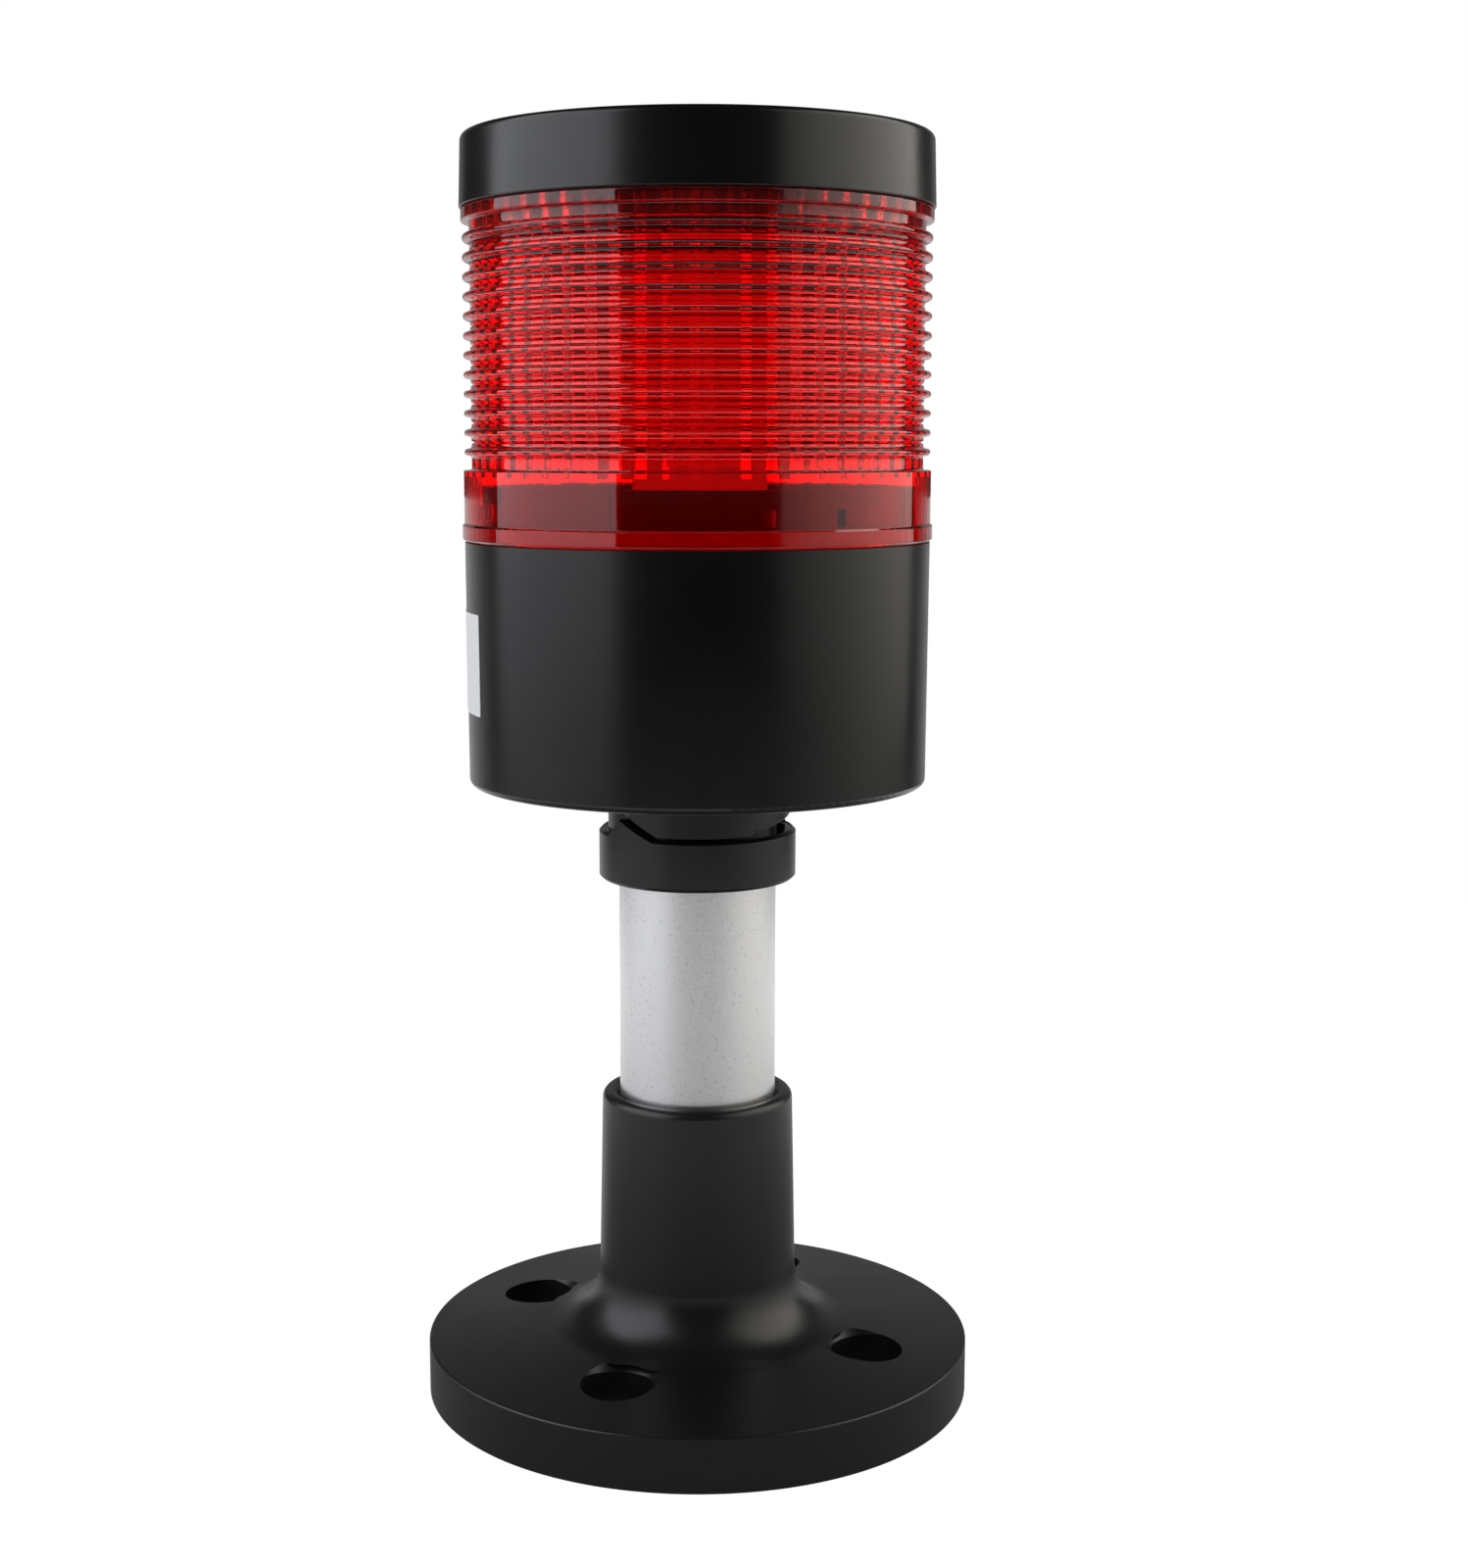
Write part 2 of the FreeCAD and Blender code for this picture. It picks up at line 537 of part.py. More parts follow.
def lamp_body():
    """Cup-shaped housing with a neck, a pole socket and a bayonet ring."""
    ledge = BODY_TOP - RING_LEDGE_DROP
    slant = BODY_BORE - RING_BORE
    outline = [
        (NECK_HOLE, COLLAR_TOP),
        (NECK_RADIUS, COLLAR_TOP),
        (NECK_RADIUS, BODY_BOTTOM),
        (BODY_BOTTOM_RADIUS, BODY_BOTTOM),
        (BODY_TOP_RADIUS, BODY_TOP),
        (RING_RADIUS, BODY_TOP),
        (RING_RADIUS, RING_TOP),
        (RING_BORE, RING_TOP),
        (RING_BORE, ledge),
        (BODY_BORE, ledge - slant),
        (BODY_BORE, FLOOR_TOP),
        (SOCKET_RADIUS, FLOOR_TOP),
        (SOCKET_RADIUS, SOCKET_TOP),
        (POLE_RADIUS + GROMMET_LEDGE, SOCKET_TOP),
        (POLE_RADIUS + GROMMET_LEDGE, POLE_TOP + SOCKET_STOP),
        (POLE_BORE, POLE_TOP + SOCKET_STOP),
        (POLE_BORE, POLE_TOP),
        (NECK_HOLE, POLE_TOP),
    ]
    body = turned(outline)
    body = rounded(body, BODY_EDGE_ROUND, [(BODY_BOTTOM_RADIUS, BODY_BOTTOM)])
    recess_top = BODY_BOTTOM + BODY_RECESS_DEPTH
    recess_outer = BODY_BOTTOM_RADIUS - BODY_RECESS_MARGIN
    recess_inner = COLLAR_RADIUS + BODY_RECESS_MARGIN / 2
    body = body.cut(ring(recess_outer, recess_inner, BODY_BOTTOM - CUT_OVER, recess_top))

    reach = NECK_RADIUS * math.sin(math.radians(NECK_CUT_SPREAD))
    low = COLLAR_TOP - CUT_OVER
    rise = [
        (-reach, low),
        (-reach, COLLAR_TOP + NECK_CUT_LOW_END),
        (reach, COLLAR_TOP + LUG_HEIGHT),
        (reach, low),
    ]
    neck_cut = face_prism(rise, NECK_HOLE / 2, NECK_RADIUS + CUT_OVER, NECK_CUT_AZIMUTH)
    body = body.cut(around(neck_cut, LUG_COUNT))

    body = body.cut(around(bayonet_track(), BAYONET_COUNT))
    notch = [
        (-MARK_WIDTH / 2, TRACK_BOTTOM),
        (MARK_WIDTH / 2, TRACK_BOTTOM),
        (MARK_WIDTH / 2, RING_TOP + CUT_OVER),
        (-MARK_WIDTH / 2, RING_TOP + CUT_OVER),
    ]
    mark = face_prism(notch, RING_RADIUS - MARK_DEPTH, RING_RADIUS + CUT_OVER, MARK_AZIMUTH)
    body = body.cut(around(mark, BAYONET_COUNT))

    rooted = FLOOR_TOP - BODY_FLOOR / 2
    boss = rod(BOSS_RADIUS, 0, BOSS_CIRCLE, rooted, CARRIER_BOTTOM)
    web_inner = BOSS_CIRCLE / 2
    web_outer = BODY_BORE + BODY_WALL / 2
    web_middle = -(web_outer + web_inner) / 2
    web = block(BOSS_WEB, web_outer - web_inner, rooted, CARRIER_BOTTOM - BOSS_RADIUS, 0, web_middle)
    boss = boss.fuse(web)
    body = body.fuse(around(boss, BOSS_COUNT)).removeSplitter()
    pilot = rod(TAP_PILOT, 0, BOSS_CIRCLE, CARRIER_BOTTOM - BOSS_PILOT_DEPTH, CARRIER_BOTTOM + CUT_OVER)
    body = body.cut(around(pilot, BOSS_COUNT))

    for azimuth in CROSS_SCREW_AZIMUTHS:
        drill = spoke(TAP_PILOT, azimuth, POLE_BORE, SOCKET_RADIUS + CUT_OVER, CROSS_SCREW_HEIGHT)
        body = body.cut(drill)
    return spun(body, HEAD_TURN)


def socket_screws():
    """Two screws through the socket wall into the pole."""
    length = SOCKET_RADIUS - POLE_BORE - PART_GAP
    screw = pan_screw(TAP_RADIUS, TAP_HEAD_RADIUS, TAP_HEAD_HEIGHT, length)
    placed = []
    for azimuth in CROSS_SCREW_AZIMUTHS:
        placed.append(laid_out(screw, azimuth + HEAD_TURN, SOCKET_RADIUS, CROSS_SCREW_HEIGHT))
    return Part.makeCompound(placed)


def cable_grommet():
    """Rubber ring that guards the wires at the end of the pole."""
    low = POLE_TOP + SOCKET_STOP
    outer = POLE_RADIUS + GROMMET_LEDGE - SLIDE_GAP
    top = low + GROMMET_HEIGHT
    outline = [
        (outer, low),
        (outer, top),
        (GROMMET_HOLE + GROMMET_LEAD_IN, top),
        (GROMMET_HOLE, top - GROMMET_LEAD_IN),
        (GROMMET_HOLE, low),
    ]
    return turned(outline)


def lens_seal():
    """Silicone ring round the foot of the bayonet ring."""
    return ring(LENS_SEAL_RADIUS, RING_RADIUS + SLIDE_GAP, BODY_TOP, BODY_TOP + LENS_SEAL_HEIGHT)


# ---------------------------------------------------------------- lens and cap

def lens_outline():
    """Outer and inner edge of the lens wall, without its flutes."""
    lip_top = LENS_BOTTOM + LIP_HEIGHT
    lip_chamfer = LIP_RADIUS - LENS_RADIUS
    rim_bore = LENS_SEAL_RADIUS + PART_GAP
    seal_clear = BODY_TOP + LENS_SEAL_HEIGHT + PART_GAP
    outline = [
        (rim_bore, LENS_BOTTOM),
        (LENS_RADIUS, LENS_BOTTOM),
        (LIP_RADIUS, LENS_BOTTOM + lip_chamfer),
        (LIP_RADIUS, lip_top - lip_chamfer),
        (LENS_RADIUS, lip_top),
        (LENS_RADIUS, LENS_BAND_TOP),
        (LENS_WALL_RADIUS, LENS_BAND_TOP),
    ]
    for index in range(RIDGE_COUNT):
        middle = FIRST_RIDGE + index * RIDGE_PITCH
        outline.append((LENS_WALL_RADIUS, middle - RIDGE_ROOT / 2))
        outline.append((LENS_TOP_RADIUS, middle - RIDGE_TIP / 2))
        outline.append((LENS_TOP_RADIUS, middle + RIDGE_TIP / 2))
        outline.append((LENS_WALL_RADIUS, middle + RIDGE_ROOT / 2))
    outline += [
        (LENS_WALL_RADIUS, LENS_RIM_BOTTOM),
        (LENS_RADIUS, LENS_RIM_BOTTOM),
        (LENS_RADIUS, LENS_TOP),
        (FLUTE_CREST_RADIUS, LENS_TOP),
        (FLUTE_CREST_RADIUS, FLUTE_BOTTOM),
        (LENS_BAND_BORE, FLUTE_BOTTOM),
        (LENS_BAND_BORE, seal_clear),
        (rim_bore, seal_clear),
    ]
    return outline


def flute_cutter():
    """Star-shaped prism: its points cut the flutes, and one land stays plain at the front."""
    land = 360.0 - FLUTE_COUNT * FLUTE_PITCH
    points = []
    for index in range(FLUTE_COUNT):
        start = land / 2 + index * FLUTE_PITCH
        points.append(spot(FLUTE_CREST_RADIUS, start, FLUTE_BOTTOM - CUT_OVER))
        points.append(spot(FLUTE_VALLEY_RADIUS, start + FLUTE_PITCH / 2, FLUTE_BOTTOM - CUT_OVER))
    points.append(spot(FLUTE_CREST_RADIUS, -land / 2, FLUTE_BOTTOM - CUT_OVER))
    face = Part.Face(Part.makePolygon(points + [points[0]]))
    return face.extrude(Vector(0, 0, LENS_TOP - FLUTE_BOTTOM + 2 * CUT_OVER))


def lens():
    """Ribbed, fluted lens with bayonet lugs below and cap tabs above."""
    shell = turned(lens_outline()).cut(flute_cutter())
    lug_middle = ENTRY_AZIMUTH - LENS_TWIST
    lug_bottom = TRACK_BOTTOM + (TRACK_HEIGHT - LENS_LUG_HEIGHT) / 2
    lug_tip = RING_RADIUS - TRACK_DEPTH + PART_GAP
    wall_middle = LENS_BAND_BORE + LENS_BAND_WALL / 2
    lug = sector(wall_middle, lug_tip, lug_bottom, lug_bottom + LENS_LUG_HEIGHT,
                 lug_middle - LENS_LUG_WIDTH / 2, LENS_LUG_WIDTH)
    tab = sector(FLUTE_VALLEY_RADIUS + FLUTE_DEPTH, SPIGOT_RADIUS + PART_GAP, CAP_TAB_BOTTOM,
                 CAP_TAB_BOTTOM + CAP_TAB_HEIGHT, CAP_LUG_AZIMUTH - CAP_LUG_WIDTH / 2, CAP_LUG_WIDTH)
    additions = around(lug, BAYONET_COUNT) + around(tab, BAYONET_COUNT)
    return spun(shell.fuse(additions).removeSplitter(), HEAD_TURN)


def cap():
    """Shallow lid with a spigot that locks under the lens tabs."""
    roof = CAP_TOP - CAP_ROOF
    outline = [
        (0, CAP_TOP),
        (CAP_TOP_RADIUS, CAP_TOP),
        (LAMP_RADIUS, CAP_BOTTOM),
        (CAP_BORE, CAP_BOTTOM),
        (CAP_BORE, roof),
        (SPIGOT_RADIUS, roof),
        (SPIGOT_RADIUS, SPIGOT_BOTTOM),
        (SPIGOT_RADIUS - SPIGOT_WALL, SPIGOT_BOTTOM),
        (SPIGOT_RADIUS - SPIGOT_WALL, roof),
        (0, roof),
    ]
    lid = turned(outline)
    lid = rounded(lid, CAP_EDGE_ROUND, [(CAP_TOP_RADIUS, CAP_TOP)])
    groove_outer = CAP_SEAL_RADIUS + SLIDE_GAP
    groove_inner = CAP_SEAL_RADIUS - CAP_SEAL_WALL - SLIDE_GAP
    groove_top = LENS_TOP + SLIDE_GAP + CAP_SEAL_HEIGHT
    lid = lid.cut(ring(groove_outer, groove_inner, CAP_BOTTOM - CUT_OVER, groove_top))
    lug = sector(SPIGOT_RADIUS + CAP_LUG_LENGTH, SPIGOT_RADIUS - SPIGOT_WALL / 2, SPIGOT_BOTTOM,
                 SPIGOT_BOTTOM + CAP_LUG_HEIGHT, CAP_LUG_AZIMUTH - CAP_LUG_WIDTH / 2, CAP_LUG_WIDTH)
    return spun(lid.fuse(around(lug, BAYONET_COUNT)).removeSplitter(), HEAD_TURN)


def cap_seal():
    """Flat ring in the groove of the cap, over the lens rim."""
    low = LENS_TOP + SLIDE_GAP
    return ring(CAP_SEAL_RADIUS, CAP_SEAL_RADIUS - CAP_SEAL_WALL, low, low + CAP_SEAL_HEIGHT)


# ---------------------------------------------------------------- inside the head

def screw_down(screw, azimuth, circle, height):
    """Stand an upright screw on a pitch circle."""
    copy = screw.copy()
    copy.translate(spot(circle / 2, azimuth, height))
    return copy


def carrier_plate():
    """Disc across the head that carries the light column and the driver board."""
    plate = ring(CARRIER_RADIUS, 0, CARRIER_BOTTOM, CARRIER_TOP)
    peg = rod(PEG_RADIUS, PEG_AZIMUTH, PEG_CIRCLE, BOARD_TOP, CARRIER_BOTTOM + CARRIER_THICKNESS / 2)
    plate = plate.fuse(around(peg, PEG_COUNT)).removeSplitter()
    peg_pilot = rod(SMALL_TAP_PILOT, PEG_AZIMUTH, PEG_CIRCLE, BOARD_TOP - CUT_OVER, CARRIER_BOTTOM)
    low = CARRIER_BOTTOM - CUT_OVER
    high = CARRIER_TOP + CUT_OVER
    through = rod(TAP_RADIUS + PART_GAP, 0, BOSS_CIRCLE, low, high)
    column_hole = rod(TAP_PILOT, 0, COLUMN_SCREW_CIRCLE, low, high)
    pin_hole = rod(PIN_RADIUS + SLIDE_GAP, 0, PIN_CIRCLE, low, high)
    holes = around(peg_pilot, PEG_COUNT) + around(through, BOSS_COUNT)
    holes += around(column_hole, COLUMN_SCREWS) + around(pin_hole, PIN_COUNT)
    return spun(plate.cut(holes), HEAD_TURN)


def carrier_screws():
    """Three screws that hold the carrier plate on the body's bosses."""
    length = BOSS_PILOT_DEPTH + CARRIER_THICKNESS - CUT_OVER
    screw = pan_screw(TAP_RADIUS, TAP_HEAD_RADIUS, TAP_HEAD_HEIGHT, length)
    first = screw_down(screw, HEAD_TURN, BOSS_CIRCLE, CARRIER_TOP)
    return Part.makeCompound(around(first, BOSS_COUNT))


def driver_board():
    """Round circuit board hung below the carrier plate."""
    board = ring(BOARD_RADIUS, WIRE_HOLE / 2, BOARD_BOTTOM, BOARD_TOP)
    low = BOARD_BOTTOM - CUT_OVER
    high = BOARD_TOP + CUT_OVER
    peg_hole = rod(SMALL_TAP_PILOT, PEG_AZIMUTH, PEG_CIRCLE, low, high)
    pin_hole = rod(PIN_RADIUS + SLIDE_GAP, 0, PIN_CIRCLE, low, high)
    return spun(board.cut(around(peg_hole, PEG_COUNT) + around(pin_hole, PIN_COUNT)), HEAD_TURN)


def board_screws():
    """Three small screws from below into the pegs."""
    length = BOARD_THICKNESS + PEG_SCREW_GRIP
    screw = pan_screw(SMALL_TAP_RADIUS, SMALL_TAP_HEAD_RADIUS, SMALL_TAP_HEAD_HEIGHT, length)
    screw.rotate(Vector(0, 0, 0), Vector(1, 0, 0), 180)
    first = screw_down(screw, PEG_AZIMUTH + HEAD_TURN, PEG_CIRCLE, BOARD_BOTTOM)
    return Part.makeCompound(around(first, PEG_COUNT))


def board_capacitor():
    """Smoothing capacitor on the driver board."""
    azimuth = CAPACITOR_AZIMUTH + HEAD_TURN
    return rod(CAPACITOR_RADIUS, azimuth, COIL_CIRCLE, BOARD_TOP, BOARD_TOP + CAPACITOR_HEIGHT)


def board_choke():
    """Square choke on the driver board."""
    choke = block(CHOKE_SIDE, CHOKE_SIDE, BOARD_TOP, BOARD_TOP + CHOKE_HEIGHT, 0, -COIL_CIRCLE / 2)
    return spun(choke, CHOKE_AZIMUTH + HEAD_TURN)


def contact_pins():
    """Three pins that join the driver board to the light column."""
    pin = rod(PIN_RADIUS, HEAD_TURN, PIN_CIRCLE, BOARD_BOTTOM, CARRIER_TOP + PIN_RISE)
    return Part.makeCompound(around(pin, PIN_COUNT))


def terminal_places():
    """Sideways centre of each way of the terminal block."""
    middle = (TERMINAL_WAYS - 1) / 2
    return [(index - middle) * TERMINAL_PITCH for index in range(TERMINAL_WAYS)]


def terminal_block():
    """Insulating block at the back of the housing, one cell for each wire."""
    centre_y = (TERMINAL_FRONT + TERMINAL_BACK) / 2
    shell = block(TERMINAL_WIDTH, TERMINAL_DEPTH, FLOOR_TOP, FLOOR_TOP + TERMINAL_HEIGHT, 0, centre_y)
    for place in terminal_places():
        cell_width = CAGE_WIDTH + 2 * SLIDE_GAP
        cell_depth = TERMINAL_DEPTH + 2 * CUT_OVER
        cell = block(cell_width, cell_depth, CAGE_BOTTOM, CAGE_TOP + SLIDE_GAP, place, centre_y)
        well = Part.makeCylinder(CLAMP_HEAD_RADIUS + 2 * SLIDE_GAP, TERMINAL_HEIGHT,
                                 Vector(place, centre_y, CAGE_TOP - SLIDE_GAP))
        shell = shell.cut([cell, well])
    return spun(shell, HEAD_TURN)


def wire_cages():
    """Brass cages that grip the wires."""
    centre_y = (TERMINAL_FRONT + TERMINAL_BACK) / 2
    depth = TERMINAL_DEPTH - 2 * CAGE_WALL
    cages = []
    for place in terminal_places():
        cage = block(CAGE_WIDTH, depth, CAGE_BOTTOM, CAGE_TOP, place, centre_y)
        way = block(CAGE_WIDTH - 2 * CAGE_WALL, TERMINAL_DEPTH, CAGE_BOTTOM + CAGE_WALL, CAGE_TOP - CAGE_ROOF,
                    place, centre_y)
        tap = Part.makeCylinder(CLAMP_SCREW_RADIUS + SLIDE_GAP, CLAMP_SCREW_LENGTH + CUT_OVER,
                                Vector(place, centre_y, CAGE_TOP - CLAMP_SCREW_LENGTH))
        cages.append(spun(cage.cut([way, tap]), HEAD_TURN))
    return Part.makeCompound(cages)


def terminal_screws():
    """Slotted clamp screws of the terminal block."""
    centre_y = (TERMINAL_FRONT + TERMINAL_BACK) / 2
    head_top = CAGE_TOP + CLAMP_HEAD_HEIGHT
    slot_length = 2 * (CLAMP_HEAD_RADIUS + CUT_OVER)
    screws = []
    for place in terminal_places():
        bottom = Vector(place, centre_y, CAGE_TOP - CLAMP_SCREW_LENGTH)
        screw = Part.makeCylinder(CLAMP_SCREW_RADIUS, CLAMP_SCREW_LENGTH, bottom)
        top = Vector(place, centre_y, CAGE_TOP)
        screw = screw.fuse(Part.makeCylinder(CLAMP_HEAD_RADIUS, CLAMP_HEAD_HEIGHT, top)).removeSplitter()
        slot_low = CAGE_TOP + CLAMP_HEAD_HEIGHT / 2
        slot = block(TAP_SLOT, slot_length, slot_low, head_top + CUT_OVER, place, centre_y)
        screws.append(spun(screw.cut(slot), HEAD_TURN))
    return Part.makeCompound(screws)


def light_column():
    """Square hollow column that holds the LED boards upright."""
    foot = ring(COLUMN_BASE_RADIUS, 0, CARRIER_TOP, COLUMN_BASE_TOP)
    shaft = block(COLUMN_SIDE, COLUMN_SIDE, CARRIER_TOP, COLUMN_TOP)
    top = ring(COLUMN_TOP_RADIUS, 0, COLUMN_TOP - COLUMN_TOP_HEIGHT, COLUMN_TOP)
    column = foot.fuse([shaft, top]).removeSplitter()
    hollow_side = COLUMN_SIDE - 2 * COLUMN_WALL
    column = column.cut(block(hollow_side, hollow_side, COLUMN_BASE_TOP, COLUMN_TOP - COLUMN_TOP_HEIGHT))
    low = CARRIER_TOP - CUT_OVER
    pin_hole = rod(PIN_RADIUS + SLIDE_GAP, 0, PIN_CIRCLE, low, CARRIER_TOP + PIN_RISE + CUT_OVER)
    column = column.cut(around(pin_hole, PIN_COUNT))
    screw_hole = rod(TAP_RADIUS + PART_GAP, 0, COLUMN_SCREW_CIRCLE, low, COLUMN_BASE_TOP + CUT_OVER)
    column = column.cut(around(screw_hole, COLUMN_SCREWS))
    return spun(column, HEAD_TURN)


def column_screws():
    """Two screws through the column's foot into the carrier plate."""
    length = COLUMN_BASE_HEIGHT + CARRIER_THICKNESS
    screw = pan_screw(TAP_RADIUS, TAP_HEAD_RADIUS, TAP_HEAD_HEIGHT, length)
    first = screw_down(screw, HEAD_TURN, COLUMN_SCREW_CIRCLE, COLUMN_BASE_TOP)
    return Part.makeCompound(around(first, COLUMN_SCREWS))


def led_board(index):
    """One upright LED board on a side of the column."""
    centre_y = -(COLUMN_SIDE + BOARD_THICKNESS) / 2
    top = LED_BOARD_BOTTOM + LED_BOARD_HEIGHT
    board = block(LED_BOARD_WIDTH, BOARD_THICKNESS, LED_BOARD_BOTTOM, top, 0, centre_y)
    return spun(board, index * 360.0 / LED_BOARDS + HEAD_TURN)


def leds():
    """A column of LED packages on each board."""
    centre_y = -COLUMN_SIDE / 2 - BOARD_THICKNESS - LED_HEIGHT / 2
    pitch = LED_BOARD_HEIGHT / LEDS_PER_BOARD
    packages = []
    for row in range(LEDS_PER_BOARD):
        low = LED_BOARD_BOTTOM + (row + 0.5) * pitch - LED_SIDE / 2
        package = block(LED_SIDE, LED_HEIGHT, low, low + LED_SIDE, 0, centre_y)
        packages += [spun(copy, HEAD_TURN) for copy in around(package, LED_BOARDS)]
    return Part.makeCompound(packages)


# ---------------------------------------------------------------- all pieces

def pieces():
    """Every sub-part by the name of its node."""
    named = {
        "base_flange": base_flange(),
        "pole_tube": pole_tube(),
        "pole_collar": pole_collar(),
        "grub_screws": grub_screws(),
        "lamp_body": lamp_body(),
        "socket_screws": socket_screws(),
        "cable_grommet": cable_grommet(),
        "lens_seal": lens_seal(),
        "lens": lens(),
        "cap": cap(),
        "cap_seal": cap_seal(),
        "carrier_plate": carrier_plate(),
        "carrier_screws": carrier_screws(),
        "driver_board": driver_board(),
        "board_screws": board_screws(),
        "board_capacitor": board_capacitor(),
        "board_choke": board_choke(),
        "contact_pins": contact_pins(),
        "terminal_block": terminal_block(),
        "wire_cages": wire_cages(),
        "terminal_screws": terminal_screws(),
        "light_column": light_column(),
        "column_screws": column_screws(),
        "leds": leds(),
    }
    for index in range(LED_BOARDS):
        named["led_board_%d" % (index + 1)] = led_board(index)
    return named


os.makedirs("parts", exist_ok=True)
for name, shape in pieces().items():
    shape.exportStep("parts/%s.step" % name)
    volume = shape.Volume / 1000
    print("%-16s %2d solids  %8.3f cm3  valid %s" % (name, len(shape.Solids), volume, shape.isValid()))
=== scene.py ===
"""Looks of a single-tier stack light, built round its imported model."""

import json
import math

import bmesh
import bpy
from bpy.props import FloatProperty, FloatVectorProperty, IntProperty, PointerProperty
from mathutils import Matrix, Vector

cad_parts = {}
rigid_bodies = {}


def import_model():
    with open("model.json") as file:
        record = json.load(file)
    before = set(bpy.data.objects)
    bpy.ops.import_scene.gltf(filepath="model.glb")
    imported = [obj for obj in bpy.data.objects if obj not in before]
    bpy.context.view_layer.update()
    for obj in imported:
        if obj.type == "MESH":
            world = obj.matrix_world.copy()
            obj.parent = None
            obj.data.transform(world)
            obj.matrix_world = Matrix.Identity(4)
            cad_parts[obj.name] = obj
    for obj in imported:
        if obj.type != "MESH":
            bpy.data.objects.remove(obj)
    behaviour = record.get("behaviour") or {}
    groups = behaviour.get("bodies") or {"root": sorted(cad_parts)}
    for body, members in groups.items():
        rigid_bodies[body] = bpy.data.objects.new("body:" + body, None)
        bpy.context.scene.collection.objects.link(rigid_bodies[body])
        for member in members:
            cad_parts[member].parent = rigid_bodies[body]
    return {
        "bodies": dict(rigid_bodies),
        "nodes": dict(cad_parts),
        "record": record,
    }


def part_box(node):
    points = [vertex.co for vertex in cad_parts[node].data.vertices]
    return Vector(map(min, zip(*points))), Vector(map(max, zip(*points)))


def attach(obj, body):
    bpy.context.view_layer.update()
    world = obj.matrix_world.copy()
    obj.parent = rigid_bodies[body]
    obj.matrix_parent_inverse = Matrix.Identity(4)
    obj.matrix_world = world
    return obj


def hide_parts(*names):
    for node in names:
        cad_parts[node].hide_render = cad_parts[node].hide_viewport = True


bl_info = {
    "name": "Stack Light Looks",
    "version": (1, 0, 0),
    "blender": (4, 5, 0),
    "location": "3D View > Sidebar > Stack Light",
    "description": "Dresses a single-tier stack light in moulded plastic, aluminium and a ribbed red lens",
    "category": "Object",
}

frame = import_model()
MM = 0.001


def only_frame_left():
    """Delete what the startup scene brought, so that the box is the frame's own."""
    kept = set(frame["nodes"].values()) | set(frame["bodies"].values())
    for item in list(bpy.data.objects):
        if item not in kept:
            bpy.data.objects.remove(item)
    bpy.context.view_layer.update()


only_frame_left()
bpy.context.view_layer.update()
FOOT_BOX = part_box("base_flange")
POLE_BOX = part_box("pole_tube")
COLLAR_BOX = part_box("pole_collar")
BODY_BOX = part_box("lamp_body")
LENS_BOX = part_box("lens")
CAP_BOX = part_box("cap")
LENS_SEAL_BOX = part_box("lens_seal")
CAP_SEAL_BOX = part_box("cap_seal")
GRUB_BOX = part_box("grub_screws")
MOUNTS = {mount["name"]: mount["dims"] for mount in frame["record"]["mounts"]}
BOLT_COUNT = MOUNTS["foot_bolts"]["count"]
BOLT_CIRCLE = MOUNTS["foot_bolts"]["pcd_mm"] / 2 * MM
BOLT_HOLE = MOUNTS["foot_bolts"]["hole_r_mm"] * MM
CABLE_BORE = MOUNTS["cable_bore"]["r_mm"] * MM

SLIDE_GAP = 0.05 * MM
PART_GAP = 0.3 * MM
HEAD_TURN = math.radians(-15)
FULL_TURN = 2 * math.pi


def from_hex(code):
    """Linear colour from an sRGB hex code."""
    channels = [int(code[place:place + 2], 16) / 255 for place in (1, 3, 5)]
    linear = [c / 12.92 if c <= 0.04045 else ((c + 0.055) / 1.055) ** 2.4 for c in channels]
    return (*linear, 1.0)


# ---- what a user can change

def length(name, description, millimetres):
    """Setting for one length."""
    return FloatProperty(name=name, description=description, default=millimetres * MM, min=0.0,
                         precision=5, subtype="DISTANCE", unit="LENGTH")


def colour(name, description, code):
    """Setting for one colour."""
    return FloatVectorProperty(name=name, description=description, default=from_hex(code), size=4,
                               min=0.0, max=1.0, subtype="COLOR")


